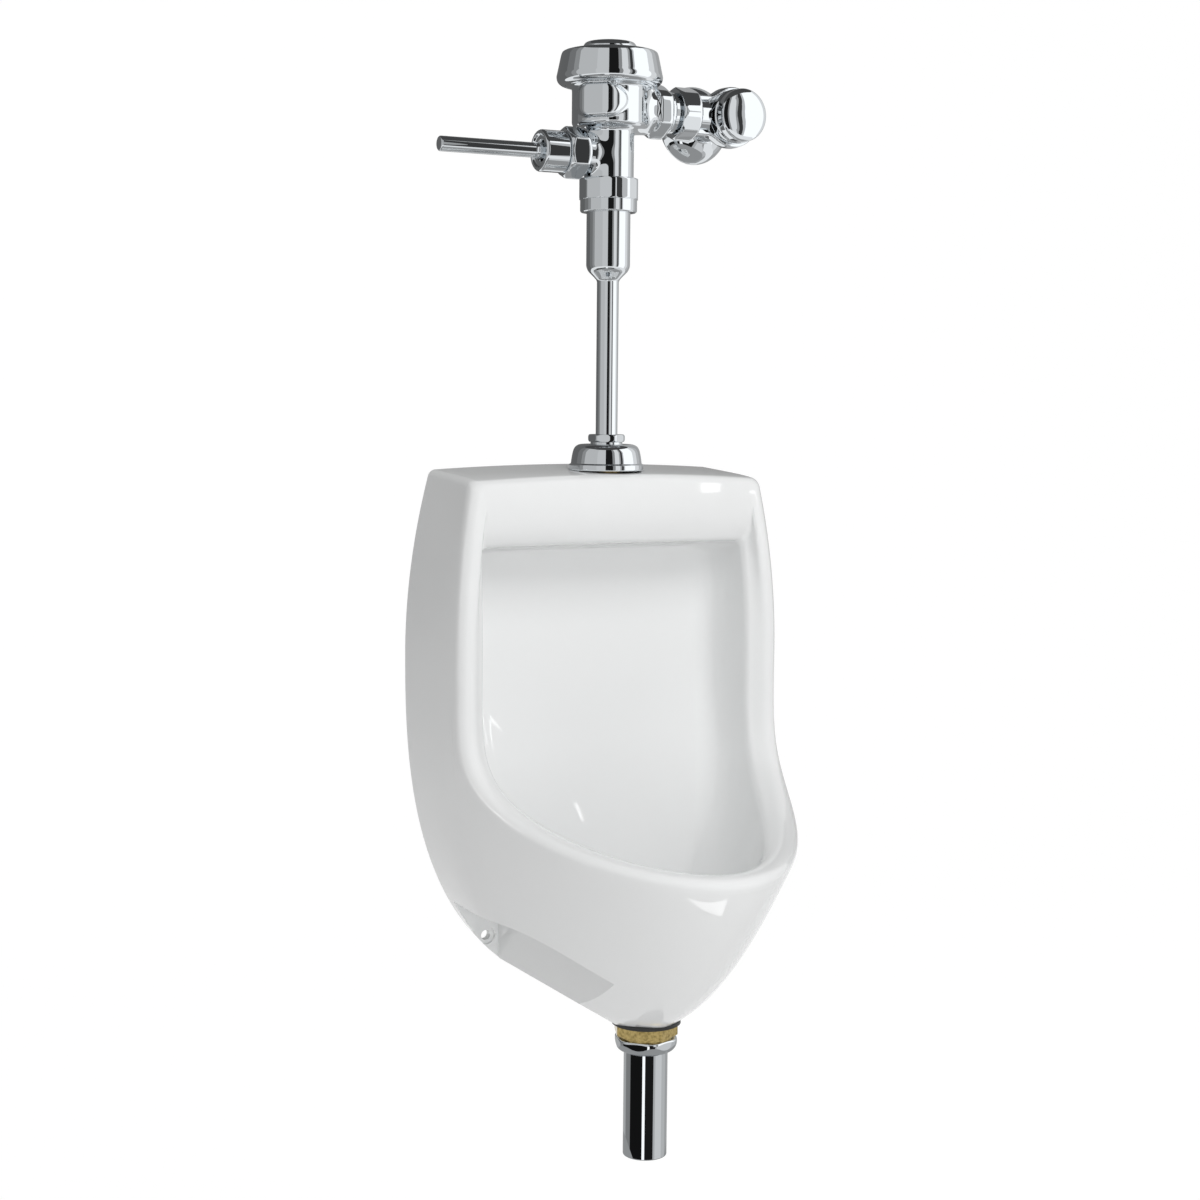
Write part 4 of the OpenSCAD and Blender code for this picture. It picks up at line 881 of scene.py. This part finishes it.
def ring_card(name, left, right, low, high, radius, strength, polished=True, fade=None):
    """Upright card bent round the valve's axis between two bearings in degrees, counted from the
    front towards the right."""
    a = np.radians(np.linspace(left, right, max(2, int(abs(right - left) / 3) + 2)))
    points = [(radius * math.sin(t), -SPUD_Y * MM - radius * math.cos(t), z)
              for z in (low, high) for t in a]
    n = len(a)
    faces = [(i, i + 1, n + i + 1, n + i) for i in range(n - 1)]
    card(name, points, faces, strength, polished, fade)


def level_card(name, half, front, rear, height, strength):
    """Level card that only the chrome sees, from its half width and its front and rear edge."""
    corners = ((-half, front), (half, front), (half, rear), (-half, rear))
    card(name, [(x, y, height) for x, y in corners], [(0, 1, 2, 3)], strength, True)


# What the chrome shows, as (left edge, right edge, strength), from the left round to the right: a
# dim rear left, a pale grey wall, the dark gap in which the camera stands, a pale strip, a dark
# stand, the white softbox and a grey rear right
BANDS_HIGH = [
    (-210, -140, 0.14), (-140, -118, 0.2), (-118, -104, 0.32), (-104, -58, 0.58), (-58, -30, 0.66),
    (-30, -7, 0.012), (-7, 1, 0.3), (1, 16, 0.85), (16, 21, 0.4), (21, 28, 0.05), (28, 32, 0.6),
    (32, 72, 1.3), (72, 92, 0.85), (92, 110, 0.55), (110, 150, 0.42)]
for k, (left, right, strength) in enumerate(BANDS_HIGH):
    ring_card("card_high_%d" % k, left, right, WALL_LOW, WALL_HIGH, WALL_R, strength)
# A low ring close to the part: what the tailpiece and the undersides show below the china
BANDS_LOW = [
    (-210, -150, 0.45), (-150, -111, 0.24), (-111, -42, 0.008), (-42, -29, 1.3), (-29, 12, 0.012),
    (12, 22, 0.5), (22, 60, 0.7), (60, 90, 0.55), (90, 150, 0.42)]
for k, (left, right, strength) in enumerate(BANDS_LOW):
    ring_card("card_low_%d" % k, left, right, -0.945, -0.66, 1.1, strength)
level_card("card_floor", 1.15, -1.2, 1.1, -0.944, 0.34)
level_card("card_far_floor", 2.4, -2.4, 2.4, -0.947, 0.95)
level_card("card_ceiling", 2.5, -2.5, 2.5, WALL_HIGH, 0.07)
# What the glaze shows: a rear that darkens upwards, which the top and the flank pick up at a
# grazing angle, a bright panel low in front, cut at an angle, which makes the wedge of light under
# the rim, and two narrow lights that run down the niche's corners
ring_card("glaze_rear", 100, 260, WALL_LOW, 1.6, 2.3, 0.25, False, (WALL_LOW, 0.1))
card("glaze_wedge", [(-0.284, -0.561, -0.93), (0.195, -0.656, -0.93), (0.189, -0.494, -0.93)],
     [(0, 1, 2)], 4.5, False)
card("glaze_left", [(-1.08, -0.08, -0.10), (-1.08, -0.03, -0.10), (-1.08, -0.03, 0.20),
                    (-1.08, -0.08, 0.20)], [(0, 1, 2, 3)], 6.0, False)
card("glaze_right", [(0.92, -1.17, 0.05), (0.98, -1.12, 0.05), (0.98, -1.12, 0.26),
                     (0.92, -1.17, 0.26)], [(0, 1, 2, 3)], 6.0, False)

# The world lights matt surfaces at half strength, and the camera and mirrors see it white
world = bpy.data.worlds.new("studio")
bpy.context.scene.world = world
world.use_nodes = True
tree = world.node_tree
tree.nodes.clear()
soft = add(tree, "ShaderNodeBackground", Color=(1, 1, 1, 1), Strength=0.5)
bright = add(tree, "ShaderNodeBackground", Color=(1, 1, 1, 1), Strength=1.0)
path = add(tree, "ShaderNodeLightPath")
seen = add(tree, "ShaderNodeMath",
           [(0, path, "Is Camera Ray"), (1, path, "Is Glossy Ray")], operation="MAXIMUM")
mix = add(tree, "ShaderNodeMixShader", [(0, seen, 0), (1, soft, 0), (2, bright, 0)])
add(tree, "ShaderNodeOutputWorld", [("Surface", mix, 0)])


def lamp(name, place, target, size, power):
    """Rectangular soft lamp that points at a target."""
    data = bpy.data.lights.new(name, "AREA")
    data.shape = "RECTANGLE"
    data.size, data.size_y = size
    data.energy = power
    obj = bpy.data.objects.new(name, data)
    obj.location = place
    obj.rotation_euler = (Vector(target) - Vector(place)).to_track_quat("-Z", "Y").to_euler()
    obj.visible_camera = obj.visible_glossy = False
    bpy.context.scene.collection.objects.link(obj)


# A large soft lamp in front, left of the middle, and a smaller one above the front
lamp("key_softbox", (-0.42, -2.15, -0.2), (0, -0.15, -0.15), (1.3, 1.2), 10.5)
lamp("top_softbox", (0.15, -1.5, 1.3), (0, -0.1, -0.1), (0.9, 0.9), 13)

# The camera stands front left of the part, a little above the china's top: its distance from the
# valve's axis in mm, its bearing in degrees and its height in mm; the bearing in which it looks,
# how far down, and its roll, in degrees; its focal length in pixels of a frame FRAME_PX wide, and
# the width of its sensor in mm
DISTANCE, AZIMUTH, EYE = 1795.8, 28.103, 126.42
LOOK, PITCH, ROLL = 27.962, 5.692, 0.507
FOCAL_PX, FRAME_PX, SENSOR = 2042.0, 1200, 36.0

cam_data = bpy.data.cameras.new("photo_camera")
cam_data.sensor_fit = "HORIZONTAL"
cam_data.sensor_width = SENSOR
cam_data.lens = FOCAL_PX / FRAME_PX * SENSOR
cam_data.clip_start = 0.05
camera = bpy.data.objects.new("photo_camera", cam_data)
bpy.context.scene.collection.objects.link(camera)
az = math.radians(AZIMUTH)
look, pitch, roll = (math.radians(v) for v in (LOOK, PITCH, ROLL))
forward = Vector((math.sin(look) * math.cos(pitch), math.cos(look) * math.cos(pitch),
                  -math.sin(pitch)))
level = Vector((math.cos(look), -math.sin(look), 0))
upright = level.cross(forward)
right = level * math.cos(roll) + upright * math.sin(roll)
up = upright * math.cos(roll) - level * math.sin(roll)
place = Matrix((right, up, -forward)).transposed().to_4x4()
eye = Vector((-DISTANCE * math.sin(az), -SPUD_Y - DISTANCE * math.cos(az), EYE))
place.translation = eye * MM
camera.matrix_world = place
bpy.context.scene.camera = camera
bpy.context.scene.view_settings.view_transform = "Standard"
